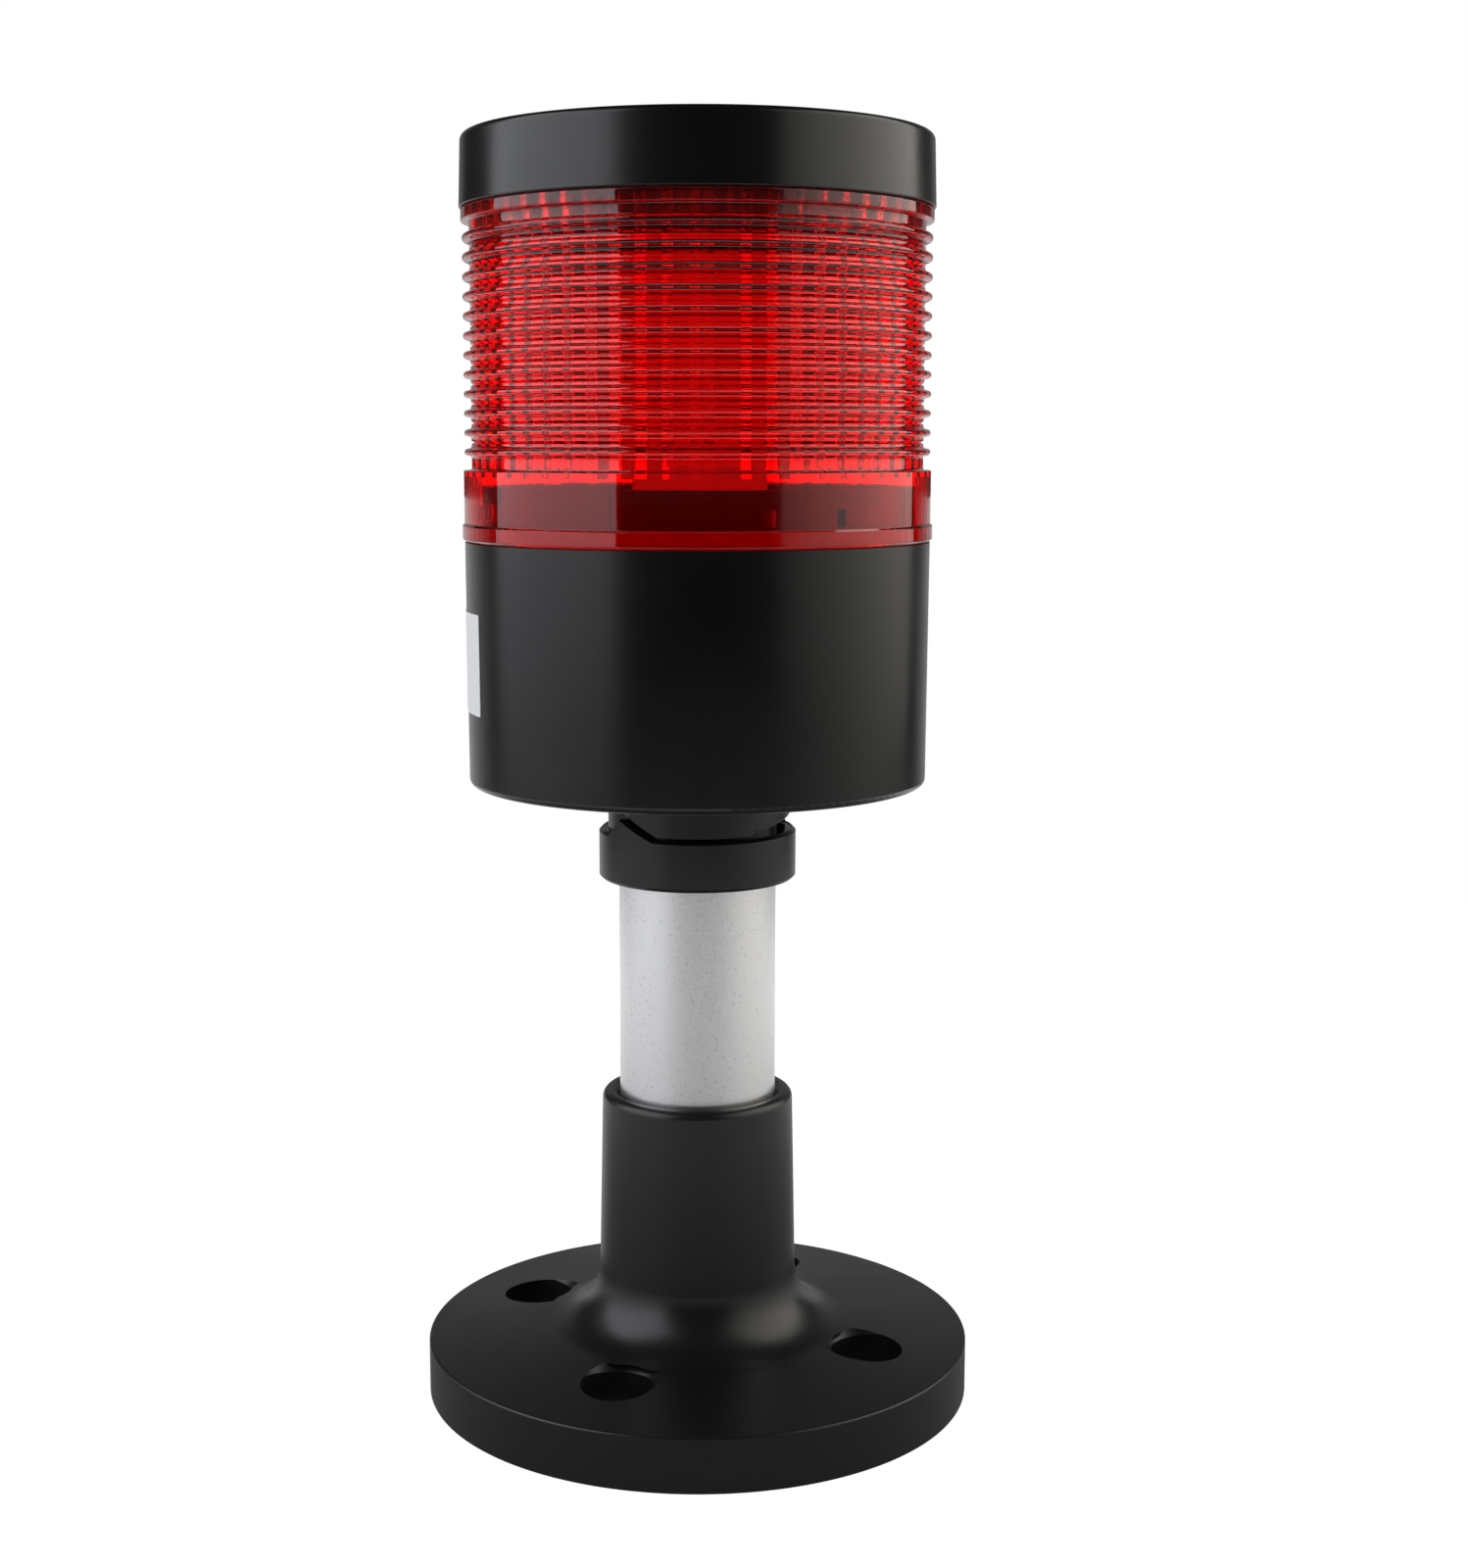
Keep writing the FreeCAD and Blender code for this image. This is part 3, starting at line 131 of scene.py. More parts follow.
class StackLightSizes(bpy.types.PropertyGroup):
    """Sizes of the modelled pieces."""

    foot_edge: length("Foot edge", "Height of the foot's upright edge", 8.4)
    foot_edge_round: length("Foot edge round", "Round on the foot's upper edge", 0.4)
    foot_slope: FloatProperty(name="Foot slope", description="Rise of the foot's top towards the stem",
                              default=math.radians(6), subtype="ANGLE", unit="ROTATION")
    stem_root: length("Stem root", "Radius of the stem at its root", 15.4)
    stem_rim: length("Stem rim", "Radius of the stem at its rim", 14.67)
    stem_fillet: length("Stem fillet", "Fillet between the foot and the stem", 9.0)
    stem_rim_round: length("Stem rim round", "Round on the stem's rim", 1.3)
    hole_chamfer: length("Hole chamfer", "Broken edge of the bolt holes", 0.12)
    ridge_count: IntProperty(name="Ridges", description="Narrow ridges round the lens", default=12, min=2)
    ridge_depth: length("Ridge depth", "How far a ridge stands out from the wall", 1.05)
    ridge_root: length("Ridge root", "Height of a ridge at the wall", 1.3)
    ridge_tip: length("Ridge tip", "Height of a ridge at its tip", 0.8)
    ridge_round: length("Ridge round", "Round along a ridge's tip", 0.44)
    ridge_fillet: length("Ridge fillet", "Fillet along a ridge's root", 0.35)
    groove_width: length("Groove width", "Height of the groove between two ridges", 0.45)
    groove_depth: length("Groove depth", "Depth of the groove between two ridges", 0.4)
    flute_count: IntProperty(name="Flutes", description="Upright flutes inside the lens", default=55, min=3)
    flute_depth: length("Flute depth", "Depth of a flute inside the lens", 0.7)
    cap_round: length("Cap round", "Round on the cap's upper edge", 1.0)
    label_width: length("Label width", "Width of the blank label", 24.0)
    label_height: length("Label height", "Height of the blank label", 14.9)


class StackLightColours(bpy.types.PropertyGroup):
    """Colours of the finishes."""

    foot: colour("Foot", "Moulding of the foot and stem", "#121213")
    housing: colour("Housing", "Moulding of the head", "#0A0A0B")
    lens: colour("Lens", "Tint of the clear lens", "#FF0A0E")
    silicone: colour("Silicone", "Seal under the lens", "#8E1215")
    aluminium: colour("Aluminium", "Anodised pole", "#F4F4F5")
    label: colour("Label", "Blank label on the housing", "#F4F5F6")
    floor: colour("Floor", "Pale studio floor", "#F1F1F2")


class StackLightStudio(bpy.types.PropertyGroup):
    """Camera and lamps."""

    azimuth: FloatProperty(name="Azimuth", description="Side that the camera stands on, from the front",
                           default=math.radians(-20.5), subtype="ANGLE", unit="ROTATION")
    distance: length("Distance", "Camera to the light's axis", 351.4)
    height: length("Height", "Camera above the floor", 146.6)
    pitch: FloatProperty(name="Pitch", description="Downward tilt of the camera",
                         default=math.radians(8.38), subtype="ANGLE", unit="ROTATION")
    focal: FloatProperty(name="Focal length", description="Lens of the camera", default=53.5,
                         subtype="DISTANCE_CAMERA", unit="CAMERA")
    shift: FloatProperty(name="Shift", description="Sideways shift of the picture", default=0.0233,
                         subtype="FACTOR", min=-1.0, max=1.0)
    softbox: FloatProperty(name="Softbox", description="Brightness of a side softbox, against a white of 1",
                           default=2.0, min=0.0)


# ---- mesh helpers

def spot(radius, azimuth, height=0.0):
    """Point at a radius and azimuth; azimuth runs from the front towards +X."""
    return Vector((radius * math.sin(azimuth), -radius * math.cos(azimuth), height))


def even_angles(count):
    """Evenly spaced azimuths of a full turn."""
    return [index * FULL_TURN / count for index in range(count)]


def softened(corners, steps):
    """Outline with rounded corners; a corner is (radius, height), perhaps with a rounding and a kind."""
    points = [Vector(corner[:2]) for corner in corners]
    outline = []
    for index, (_, _, *more) in enumerate(corners):
        corner = points[index]
        rounding, *kind = more or [0]
        if rounding <= 0:
            outline.append((*corner, *kind))
            continue
        to_last = (points[index - 1] - corner).normalized()
        to_next = (points[(index + 1) % len(points)] - corner).normalized()
        half = to_last.angle(to_next) / 2
        centre = corner + (to_last + to_next).normalized() * (rounding / math.sin(half))
        reach = rounding / math.tan(half)
        start = (corner + to_last * reach - centre).normalized()
        end = (corner + to_next * reach - centre).normalized()
        for step in range(steps + 1):
            point = centre + start.slerp(end, step / steps) * rounding
            outline.append((*point, *kind))
    return outline


def new_piece(name, shape):
    """Object from a finished bmesh, which it uses up."""
    mesh = bpy.data.meshes.new(name)
    shape.to_mesh(mesh)
    shape.free()
    piece = bpy.data.objects.new(name, mesh)
    bpy.context.scene.collection.objects.link(piece)
    return piece


def turned(name, outline, angles, shapes=None):
    """Closed solid turned about the axis; shapes gives the place of each kind of point that has one."""
    shape = bmesh.new()
    columns = []
    for angle in angles:
        column = []
        for radius, height, *kind in outline:
            if kind:
                radius, height = shapes[kind[0]](angle, radius, height)
            column.append(shape.verts.new(spot(radius, angle, height)))
        columns.append(column)
    for index, here in enumerate(columns):
        there = columns[(index + 1) % len(columns)]
        for row in range(len(outline)):
            above = (row + 1) % len(outline)
            shape.faces.new((here[row], there[row], there[above], here[above]))
    bmesh.ops.remove_doubles(shape, verts=shape.verts, dist=SLIDE_GAP / 100)
    bmesh.ops.recalc_face_normals(shape, faces=shape.faces)
    return new_piece(name, shape)


def copies_joined(piece, places):
    """One object that holds a copy of a piece at each place, given as matrices."""
    shape = bmesh.new()
    for place in places:
        copy = piece.data.copy()
        copy.transform(place)
        shape.from_mesh(copy)
        bpy.data.meshes.remove(copy)
    shape.to_mesh(piece.data)
    shape.free()
    return piece


def carve(piece, cutter):
    """Cut a piece for good, and delete the cutter."""
    cut = piece.modifiers.new("Cut", "BOOLEAN")
    cut.operation = "DIFFERENCE"
    cut.solver = "EXACT"
    cut.object = cutter
    graph = bpy.context.evaluated_depsgraph_get()
    carved = bpy.data.meshes.new_from_object(piece.evaluated_get(graph))
    if len(carved.polygons) <= len(cutter.data.polygons):
        raise RuntimeError("the cut in %s failed" % piece.name)
    piece.modifiers.clear()
    piece.data = carved
    bpy.data.objects.remove(cutter)


def shade(piece, sharp_degrees=32):
    """Smooth shading that stays crisp at real edges."""
    piece.data.polygons.foreach_set("use_smooth", [True] * len(piece.data.polygons))
    piece.data.set_sharp_from_angle(angle=math.radians(sharp_degrees))
    even = piece.modifiers.new("Even shading", "WEIGHTED_NORMAL")
    even.keep_sharp = True
    even.weight = 100


def dress(piece, material):
    """Give a piece its one material."""
    piece.data.materials.clear()
    piece.data.materials.append(material)


def place_piece(piece, body, material, nodes=()):
    """Finish a modelled piece: material, body and the nodes that it stands for."""
    dress(piece, material)
    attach(piece, body)
    if nodes:
        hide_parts(*nodes)


def dress_nodes(material, *names):
    """Give carried-over nodes their material."""
    for name in names:
        dress(frame["nodes"][name], material)


# ---- materials

MIX_FIRST, MIX_SECOND = 6, 7
NOISE_LOW, NOISE_HIGH = 0.3, 0.7


def add(tree, kind, inputs=None, **settings):
    """Add a node with its settings and constants, and link the values that are sockets or nodes."""
    node = tree.nodes.new(kind)
    for name, value in settings.items():
        setattr(node, name, value)
    for socket, value in (inputs or {}).items():
        if isinstance(value, bpy.types.Node):
            value = next(output for output in value.outputs if output.enabled)
        if isinstance(value, bpy.types.NodeSocket):
            tree.links.new(value, node.inputs[socket])
        else:
            node.inputs[socket].default_value = value
    return node


def blank_material(name):
    """New material with an empty tree, and the place on the piece in metres."""
    material = bpy.data.materials.new(name)
    material.use_nodes = True
    tree = material.node_tree
    tree.nodes.clear()
    return material, tree, add(tree, "ShaderNodeTexCoord").outputs["Object"]


def scaled(tint, factor):
    """A colour made darker or lighter."""
    return (*[min(1.0, channel * factor) for channel in tint[:3]], 1.0)


def finish(name, light, dark, cloud, smooth, rough, grit=0.0, relief=0.0, **constants):
    """Finish whose colour and sheen drift over clouds of one size, under grit of another."""
    material, tree, place = blank_material(name)
    drift = add(tree, "ShaderNodeTexNoise", {"Vector": place, "Scale": 1 / cloud, "Detail": 3.0})
    inputs = {word.replace("_", " "): value for word, value in constants.items()}
    inputs["Base Color"] = add(tree, "ShaderNodeMix", {
        "Factor": drift, MIX_FIRST: light, MIX_SECOND: dark,
    }, data_type="RGBA")
    inputs["Roughness"] = add(tree, "ShaderNodeMapRange", {
        "Value": drift, "From Min": NOISE_LOW, "From Max": NOISE_HIGH, "To Min": smooth, "To Max": rough,
    })
    if grit:
        grains = add(tree, "ShaderNodeTexNoise", {"Vector": place, "Scale": 1 / grit, "Detail": 2.0})
        inputs["Normal"] = add(tree, "ShaderNodeBump", {
            "Height": grains, "Distance": relief, "Strength": 1.0,
        })
    shader = add(tree, "ShaderNodeBsdfPrincipled", inputs)
    add(tree, "ShaderNodeOutputMaterial", {"Surface": shader})
    return material


def textured_abs(tint):
    """Black ABS, moulded in a spark-eroded tool: a fine even grain that breaks up the highlights."""
    return finish("spark_textured_abs", scaled(tint, 1.2), scaled(tint, 0.8), 14 * MM, 0.3, 0.35,
                  grit=0.22 * MM, relief=0.006 * MM, IOR=1.53)


def satin_abs(name, tint, smooth, rough):
    """Black ABS, moulded in a stoned tool: satin, with broad soft highlights."""
    return finish(name, scaled(tint, 1.2), scaled(tint, 0.8), 18 * MM, smooth, rough,
                  grit=0.3 * MM, relief=0.002 * MM, IOR=1.53)


FLUTE_REACH = (32.2 * MM, 32.6 * MM)


def clear_red_polycarbonate(tint):
    """Polycarbonate dyed red, moulded in a polished tool: glassy, rippled, and hazier on the flutes."""
    material, tree, place = blank_material("clear_red_polycarbonate")
    ripple = add(tree, "ShaderNodeTexNoise", {"Vector": place, "Scale": 1 / (2.5 * MM)})
    dye = add(tree, "ShaderNodeMix", {
        "Factor": ripple, MIX_FIRST: tint, MIX_SECOND: scaled(tint, 0.94),
    }, data_type="RGBA")
    across = add(tree, "ShaderNodeVectorMath", {0: place, 1: (1, 1, 0)}, operation="MULTIPLY")
    radius = add(tree, "ShaderNodeVectorMath", {0: across}, operation="LENGTH")
    gloss = add(tree, "ShaderNodeMapRange", {
        "Value": radius, "From Min": FLUTE_REACH[0], "From Max": FLUTE_REACH[1],
        "To Min": 0.13, "To Max": 0.06,
    })
    bump = add(tree, "ShaderNodeBump", {"Height": ripple, "Distance": 0.012 * MM, "Strength": 1.0})
    shader = add(tree, "ShaderNodeBsdfPrincipled", {
        "Base Color": dye,
        "Roughness": gloss,
        "IOR": 1.585,
        "Transmission Weight": 1.0,
        "Normal": bump,
    })
    add(tree, "ShaderNodeOutputMaterial", {"Surface": shader})
    return material


def cast_silicone(tint):
    """Red silicone, press moulded: a soft sheen, with a little light coming through it."""
    return finish("cast_red_silicone", tint, scaled(tint, 0.8), 4 * MM, 0.4, 0.5,
                  IOR=1.41, Subsurface_Weight=0.3, Subsurface_Scale=1.0 * MM)


def nitrile_rubber():
    """Black nitrile rubber, press moulded: dull, with a bloom that greys it."""
    return finish("moulded_nitrile_rubber", from_hex("#151516"), from_hex("#222224"), 3 * MM, 0.6, 0.75,
                  grit=0.4 * MM, relief=0.004 * MM, IOR=1.52)


def zinc_plated_steel():
    """Steel screws, cold headed and zinc plated: bright with a bluish cast and cloudy patches."""
    return finish("zinc_plated_steel", from_hex("#B9BCC2"), from_hex("#9DA1A8"), 1.2 * MM, 0.25, 0.4,
                  Metallic=1.0)


def turned_brass():
    """Brass pins and cages, turned: warm yellow with fine tool marks."""
    return finish("turned_brass", from_hex("#D8B25A"), from_hex("#B98F3E"), 0.3 * MM, 0.22, 0.34,
                  Metallic=1.0)


def green_lacquer():
    """Glass-epoxy board under green solder lacquer: glossy, and uneven where it crosses the tracks."""
    return finish("green_board_lacquer", from_hex("#1F5B36"), from_hex("#2A6E44"), 1.5 * MM, 0.25, 0.35,
                  IOR=1.55)


def white_lacquer():
    """Glass-epoxy board under white solder lacquer: bright, so that it throws the light out."""
    return finish("white_board_lacquer", from_hex("#EFEFEC"), from_hex("#E2E3E0"), 2 * MM, 0.25, 0.35,
                  IOR=1.55)


def white_pbt():
    """White PBT column, injection moulded: bright and slightly waxy, with a soft sheen."""
    return finish("moulded_white_pbt", from_hex("#F6F5F1"), from_hex("#ECEAE4"), 9 * MM, 0.32, 0.42,
                  IOR=1.55)


def led_epoxy():
    """LED packages under clear epoxy: yellowish cups with a shiny face."""
    return finish("led_epoxy", from_hex("#F3EFE2"), from_hex("#D9CDA6"), 1.5 * MM, 0.12, 0.18,
                  IOR=1.52, Coat_Weight=0.6)


def can_aluminium():
    """Drawn aluminium can of the capacitor: bright, with fine drawing marks."""
    return finish("drawn_can_aluminium", from_hex("#C9CACD"), from_hex("#AEB0B4"), 0.25 * MM, 0.25, 0.38,
                  Metallic=1.0)


def pressed_ferrite():
    """Ferrite block, pressed and fired: dark grey and stony."""
    return finish("pressed_ferrite", from_hex("#2A2B2D"), from_hex("#3B3C3F"), 0.3 * MM, 0.55, 0.8,
                  grit=0.3 * MM, relief=0.02 * MM, IOR=1.6)


def terminal_nylon():
    """Grey nylon terminal block, injection moulded: dull with a fine grain."""
    return finish("moulded_grey_nylon", from_hex("#8E9296"), from_hex("#7F8387"), 4 * MM, 0.45, 0.6,
                  grit=0.4 * MM, relief=0.004 * MM, IOR=1.53)


def matt_vinyl(tint):
    """Blank vinyl label: matt white, with a faint fibre and handling marks."""
    return finish("matt_white_vinyl", tint, scaled(tint, 0.94), 3 * MM, 0.45, 0.6,
                  grit=0.35 * MM, relief=0.006 * MM, IOR=1.5)


def anodised_aluminium(tint):
    """Aluminium tube, bead blasted and clear anodised: pale and frosty, with a few darker pits."""
    material, tree, place = blank_material("blasted_anodised_aluminium")
    cloud = add(tree, "ShaderNodeTexNoise", {"Vector": place, "Scale": 1 / (6 * MM), "Detail": 3.0})
    frost = add(tree, "ShaderNodeTexNoise", {"Vector": place, "Scale": 1 / (0.45 * MM), "Detail": 3.0})
    pits = add(tree, "ShaderNodeTexVoronoi", {"Vector": place, "Scale": 1 / (0.9 * MM)})
    pitted = add(tree, "ShaderNodeMapRange", {
        "Value": pits, "From Min": 0.05, "From Max": 0.22,
    })
    patchy = add(tree, "ShaderNodeMapRange", {
        "Value": cloud, "From Min": 0.45, "From Max": 0.6,
    })
    clean = add(tree, "ShaderNodeMath", {
        0: pitted, 1: patchy,
    }, operation="MAXIMUM")
    pale = add(tree, "ShaderNodeMix", {
        "Factor": frost, MIX_FIRST: tint, MIX_SECOND: scaled(tint, 0.9),
    }, data_type="RGBA")
    skin = add(tree, "ShaderNodeMix", {
        "Factor": clean, MIX_FIRST: scaled(tint, 0.6), MIX_SECOND: pale,
    }, data_type="RGBA")
    sheen = add(tree, "ShaderNodeMapRange", {
        "Value": frost, "From Min": NOISE_LOW, "From Max": NOISE_HIGH, "To Min": 0.34, "To Max": 0.42,
    })
    bump = add(tree, "ShaderNodeBump", {"Height": frost, "Distance": 0.03 * MM, "Strength": 0.8})
    shader = add(tree, "ShaderNodeBsdfPrincipled", {
        "Base Color": skin,
        "Metallic": 1.0,
        "Roughness": sheen,
        "Normal": bump,
    })
    add(tree, "ShaderNodeOutputMaterial", {"Surface": shader})
    return material


# ---- foot

def bolt_holes(radius, height):
    """Upright plugs on the bolt circle."""
    plug = turned("plug", [(0, -height), (radius, -height), (radius, height), (0, height)],
                  even_angles(96))
    return copies_joined(plug, [Matrix.Translation(place) for place in bolt_places()])


def bolt_places():
    """Centres of the bolt holes, at the height of the floor."""
    return [spot(BOLT_CIRCLE, (index + 0.5) * FULL_TURN / BOLT_COUNT) for index in range(BOLT_COUNT)]


def hole_countersinks(radius, chamfer, rise, slope):
    """Shallow cones that break the holes' upper edges, square to the sloping top."""
    rim = radius + chamfer
    cone = turned("cone", [(0, -rim), (rim + MM, MM), (0, MM)], even_angles(96))
    places = []
    for place in bolt_places():
        azimuth = math.atan2(place.x, -place.y)
        tilt = Matrix.Rotation(azimuth, 4, "Z") @ Matrix.Rotation(slope, 4, "X")
        places.append(Matrix.Translation(place + Vector((0, 0, rise))) @ tilt)
    return copies_joined(cone, places)


def drill(radius, reach):
    """Upright rod from the origin, for cutting."""
    outline = [(0, 0), (radius, 0), (radius, reach), (0, reach)]
    return turned("drill", outline, even_angles(48))


def bar(width, long, low, high, azimuth):
    """Flat bar across the axis, for cutting."""
    shape = bmesh.new()
    bmesh.ops.create_cube(shape, size=1)
    size = Matrix.Diagonal((width, long, high - low, 1))
    turn = Matrix.Rotation(azimuth, 4, "Z")
    place = turn @ Matrix.Translation((0, 0, (low + high) / 2)) @ size
    bmesh.ops.transform(shape, matrix=place, verts=shape.verts)
    return new_piece("bar", shape)


class STACKLIGHT_OT_foot(bpy.types.Operator):
    """Model the foot and stem with softened edges, bolt holes and the ribbed underside"""

    bl_idname = "stacklight.foot"
    bl_label = "Foot and stem"

    WALL = 3.0 * MM
    POCKET_DEPTH = 3.2 * MM
    POCKET_STEM_GAP = 1.5 * MM
    BOSS_WALL = 2.8 * MM
    RIB_WIDTH = 2.2 * MM
    RIBS = 8
    LEAD_IN = 0.9 * MM
    SMALL_ROUND = 0.25 * MM
    GRUB_RADIUS = 2.05 * MM

    def execute(self, context):
        sizes = context.scene.stack_light_sizes
        radius = FOOT_BOX[1].x
        rise = math.tan(sizes.foot_slope)
        root = sizes.foot_edge + (radius - sizes.stem_root) * rise
        rim = FOOT_BOX[1].z
        hole = POLE_BOX[1].x + SLIDE_GAP
        seat = POLE_BOX[0].z
        corners = [
            (CABLE_BORE, 0),
            (radius, 0, self.SMALL_ROUND),
            (radius, sizes.foot_edge, sizes.foot_edge_round),
            (sizes.stem_root, root, sizes.stem_fillet),
            (sizes.stem_rim, rim, sizes.stem_rim_round),
            (hole + self.LEAD_IN, rim, self.SMALL_ROUND / 2),
            (hole, rim - self.LEAD_IN, self.SMALL_ROUND / 2),
            (hole, seat),
            (CABLE_BORE, seat),
        ]
        foot = turned("foot_and_stem", softened(corners, 8), even_angles(288))

        inner = sizes.stem_root + self.POCKET_STEM_GAP
        outer = radius - self.WALL
        depth = self.POCKET_DEPTH
        ring = [(inner, -MM), (outer, -MM), (outer, depth), (inner, depth)]
        pocket = turned("pocket", ring, even_angles(288))
        for index in range(self.RIBS // 2):
            azimuth = index * FULL_TURN / self.RIBS
            carve(pocket, bar(self.RIB_WIDTH, 3 * radius, -2 * MM, depth + MM, azimuth))
        carve(pocket, bolt_holes(BOLT_HOLE + self.BOSS_WALL, depth + 2 * MM))
        carve(foot, pocket)

        carve(foot, bolt_holes(BOLT_HOLE, rim / 2))
        top = sizes.foot_edge + (radius - BOLT_CIRCLE) * rise
        carve(foot, hole_countersinks(BOLT_HOLE, sizes.hole_chamfer, top, -sizes.foot_slope))

        grub = drill(self.GRUB_RADIUS, radius)
        level = GRUB_BOX[0].z + self.GRUB_RADIUS - SLIDE_GAP
        grub.data.transform(Matrix.Translation((0, 0, level)) @ Matrix.Rotation(-math.pi / 2, 4, "X"))
        carve(foot, grub)

        shade(foot)
        material = textured_abs(context.scene.stack_light_colours.foot)
        place_piece(foot, "stand", material, ["base_flange"])
        return {"FINISHED"}


# ---- pole, collar and housing

class STACKLIGHT_OT_pole(bpy.types.Operator):
    """Finish the anodised pole"""

    bl_idname = "stacklight.pole"
    bl_label = "Pole"

    def execute(self, context):
        dress_nodes(anodised_aluminium(context.scene.stack_light_colours.aluminium), "pole_tube")
        return {"FINISHED"}


HALF_TURN = 180.0


def profile_height(table, angle):
    """Height at an azimuth from a table of (degrees, millimetres) that repeats each half turn."""
    place = math.degrees(angle - HEAD_TURN) % HALF_TURN
    rows = sorted((degrees % HALF_TURN, rise) for degrees, rise in table)
    rows = [(rows[-1][0] - HALF_TURN, rows[-1][1])] + rows + [(rows[0][0] + HALF_TURN, rows[0][1])]
    for (low, first), (high, second) in zip(rows, rows[1:]):
        if low <= place <= high:
            return (first + (second - first) * (place - low) / (high - low)) * MM
    return 0.0


def profile_angles(table):
    """Azimuths of a table's corners, for both half turns."""
    return [HEAD_TURN + math.radians(degrees + half) for degrees, _ in table for half in (0, HALF_TURN)]


class STACKLIGHT_OT_collar(bpy.types.Operator):
    """Model the clamp collar with its ramped lugs, and the neck that comes down over it"""

    bl_idname = "stacklight.collar"
    bl_label = "Collar and neck"

    CHAMFER = 0.5 * MM
    EDGE = 0.12 * MM
    COLLAR_HEIGHT = 7.7 * MM
    GRUB_RADIUS = 2.05 * MM
    LUG_INNER = 14.3 * MM
    SLEEVE = 0.07 * MM
    SLEEVE_GAP = 0.02 * MM
    NECK_INNER = 13.82 * MM
    NECK_OUTER = 14.15 * MM
    NECK_FLARE = 16.6 * MM
    NECK_LENGTH = 7.0 * MM
    FLARE_HEIGHT = 2.2 * MM
    LUG_TABLE = (
        (-68.5, 0.0), (-58.0, 2.5), (-55.0, 2.6), (-32.0, 0.0), (0.0, 0.0), (60.0, 0.0), (100.0, 0.0),
    )
    NECK_TABLE = (
        (-76.0, 2.9), (-56.0, 3.2), (-31.0, 0.2), (0.0, 0.2), (29.5, 0.2), (30.0, 0.9), (96.0, 2.9),
    )

    def collar(self):
        """Clamp ring with two lugs, and a thin sleeve that lines the neck."""
        low = COLLAR_BOX[0].z
        top = low + self.COLLAR_HEIGHT
        outer = COLLAR_BOX[1].x
        pole = POLE_BOX[1].x
        sleeve_in = pole + self.SLEEVE_GAP
        sleeve = sleeve_in + self.SLEEVE
        seat = BODY_BOX[0].z + self.COLLAR_HEIGHT / 2
        corners = [
            (sleeve_in, low),
            (outer - self.CHAMFER, low, self.EDGE),
            (outer, low + self.CHAMFER, self.EDGE),
            (outer, top - self.CHAMFER, self.EDGE, "lug"),
            (outer - self.CHAMFER, top, self.EDGE, "lug"),
            (self.LUG_INNER, top, 0, "lug"),
            (self.LUG_INNER, top - self.EDGE),
            (sleeve, top - self.EDGE),
            (sleeve, seat),
            (sleeve_in, seat),
        ]

        def lug(angle, radius, height):
            return radius, height + profile_height(self.LUG_TABLE, angle)

        angles = sorted(angle % FULL_TURN for angle in even_angles(180) + profile_angles(self.LUG_TABLE))
        collar = turned("clamp_collar", softened(corners, 3), angles, {"lug": lug})
        grub = drill(self.GRUB_RADIUS, 2 * outer)
        turn = Matrix.Rotation(HEAD_TURN, 4, "Z") @ Matrix.Rotation(-math.pi / 2, 4, "X")
        grub.data.transform(Matrix.Translation((0, 0, low + self.COLLAR_HEIGHT / 2)) @ turn)
        carve(collar, grub)
        return collar

    def neck(self):
        """Skirt of the housing's neck, with the ramped lower edge that the lugs slide under."""
        low = COLLAR_BOX[0].z + self.COLLAR_HEIGHT
        top = BODY_BOX[0].z + self.NECK_LENGTH - SLIDE_GAP
        corners = [
            (self.NECK_INNER, low, 0, "edge"),
            (self.NECK_OUTER, low, self.EDGE, "edge"),
            (self.NECK_OUTER, top - self.FLARE_HEIGHT, self.FLARE_HEIGHT),
            (self.NECK_FLARE, top),
            (self.NECK_INNER, top),
        ]

        def edge(angle, radius, height):
            return radius, height + profile_height(self.NECK_TABLE, angle)

        angles = sorted(angle % FULL_TURN for angle in even_angles(180) + profile_angles(self.NECK_TABLE))
        return turned("neck_skirt", softened(corners, 4), angles, {"edge": edge})

    def execute(self, context):
        material = satin_abs("satin_abs_collar", context.scene.stack_light_colours.housing, 0.24, 0.3)
        collar = self.collar()
        shade(collar)
        place_piece(collar, "stand", material, ["pole_collar"])
        neck = self.neck()
        shade(neck)
        place_piece(neck, "stand", material)
        return {"FINISHED"}


class STACKLIGHT_OT_housing(bpy.types.Operator):
    """Finish the housing and the carrier plate inside it"""

    bl_idname = "stacklight.housing"
    bl_label = "Housing"

    def execute(self, context):
        material = satin_abs("satin_abs", context.scene.stack_light_colours.housing, 0.22, 0.28)
        dress_nodes(material, "lamp_body", "carrier_plate")
        return {"FINISHED"}


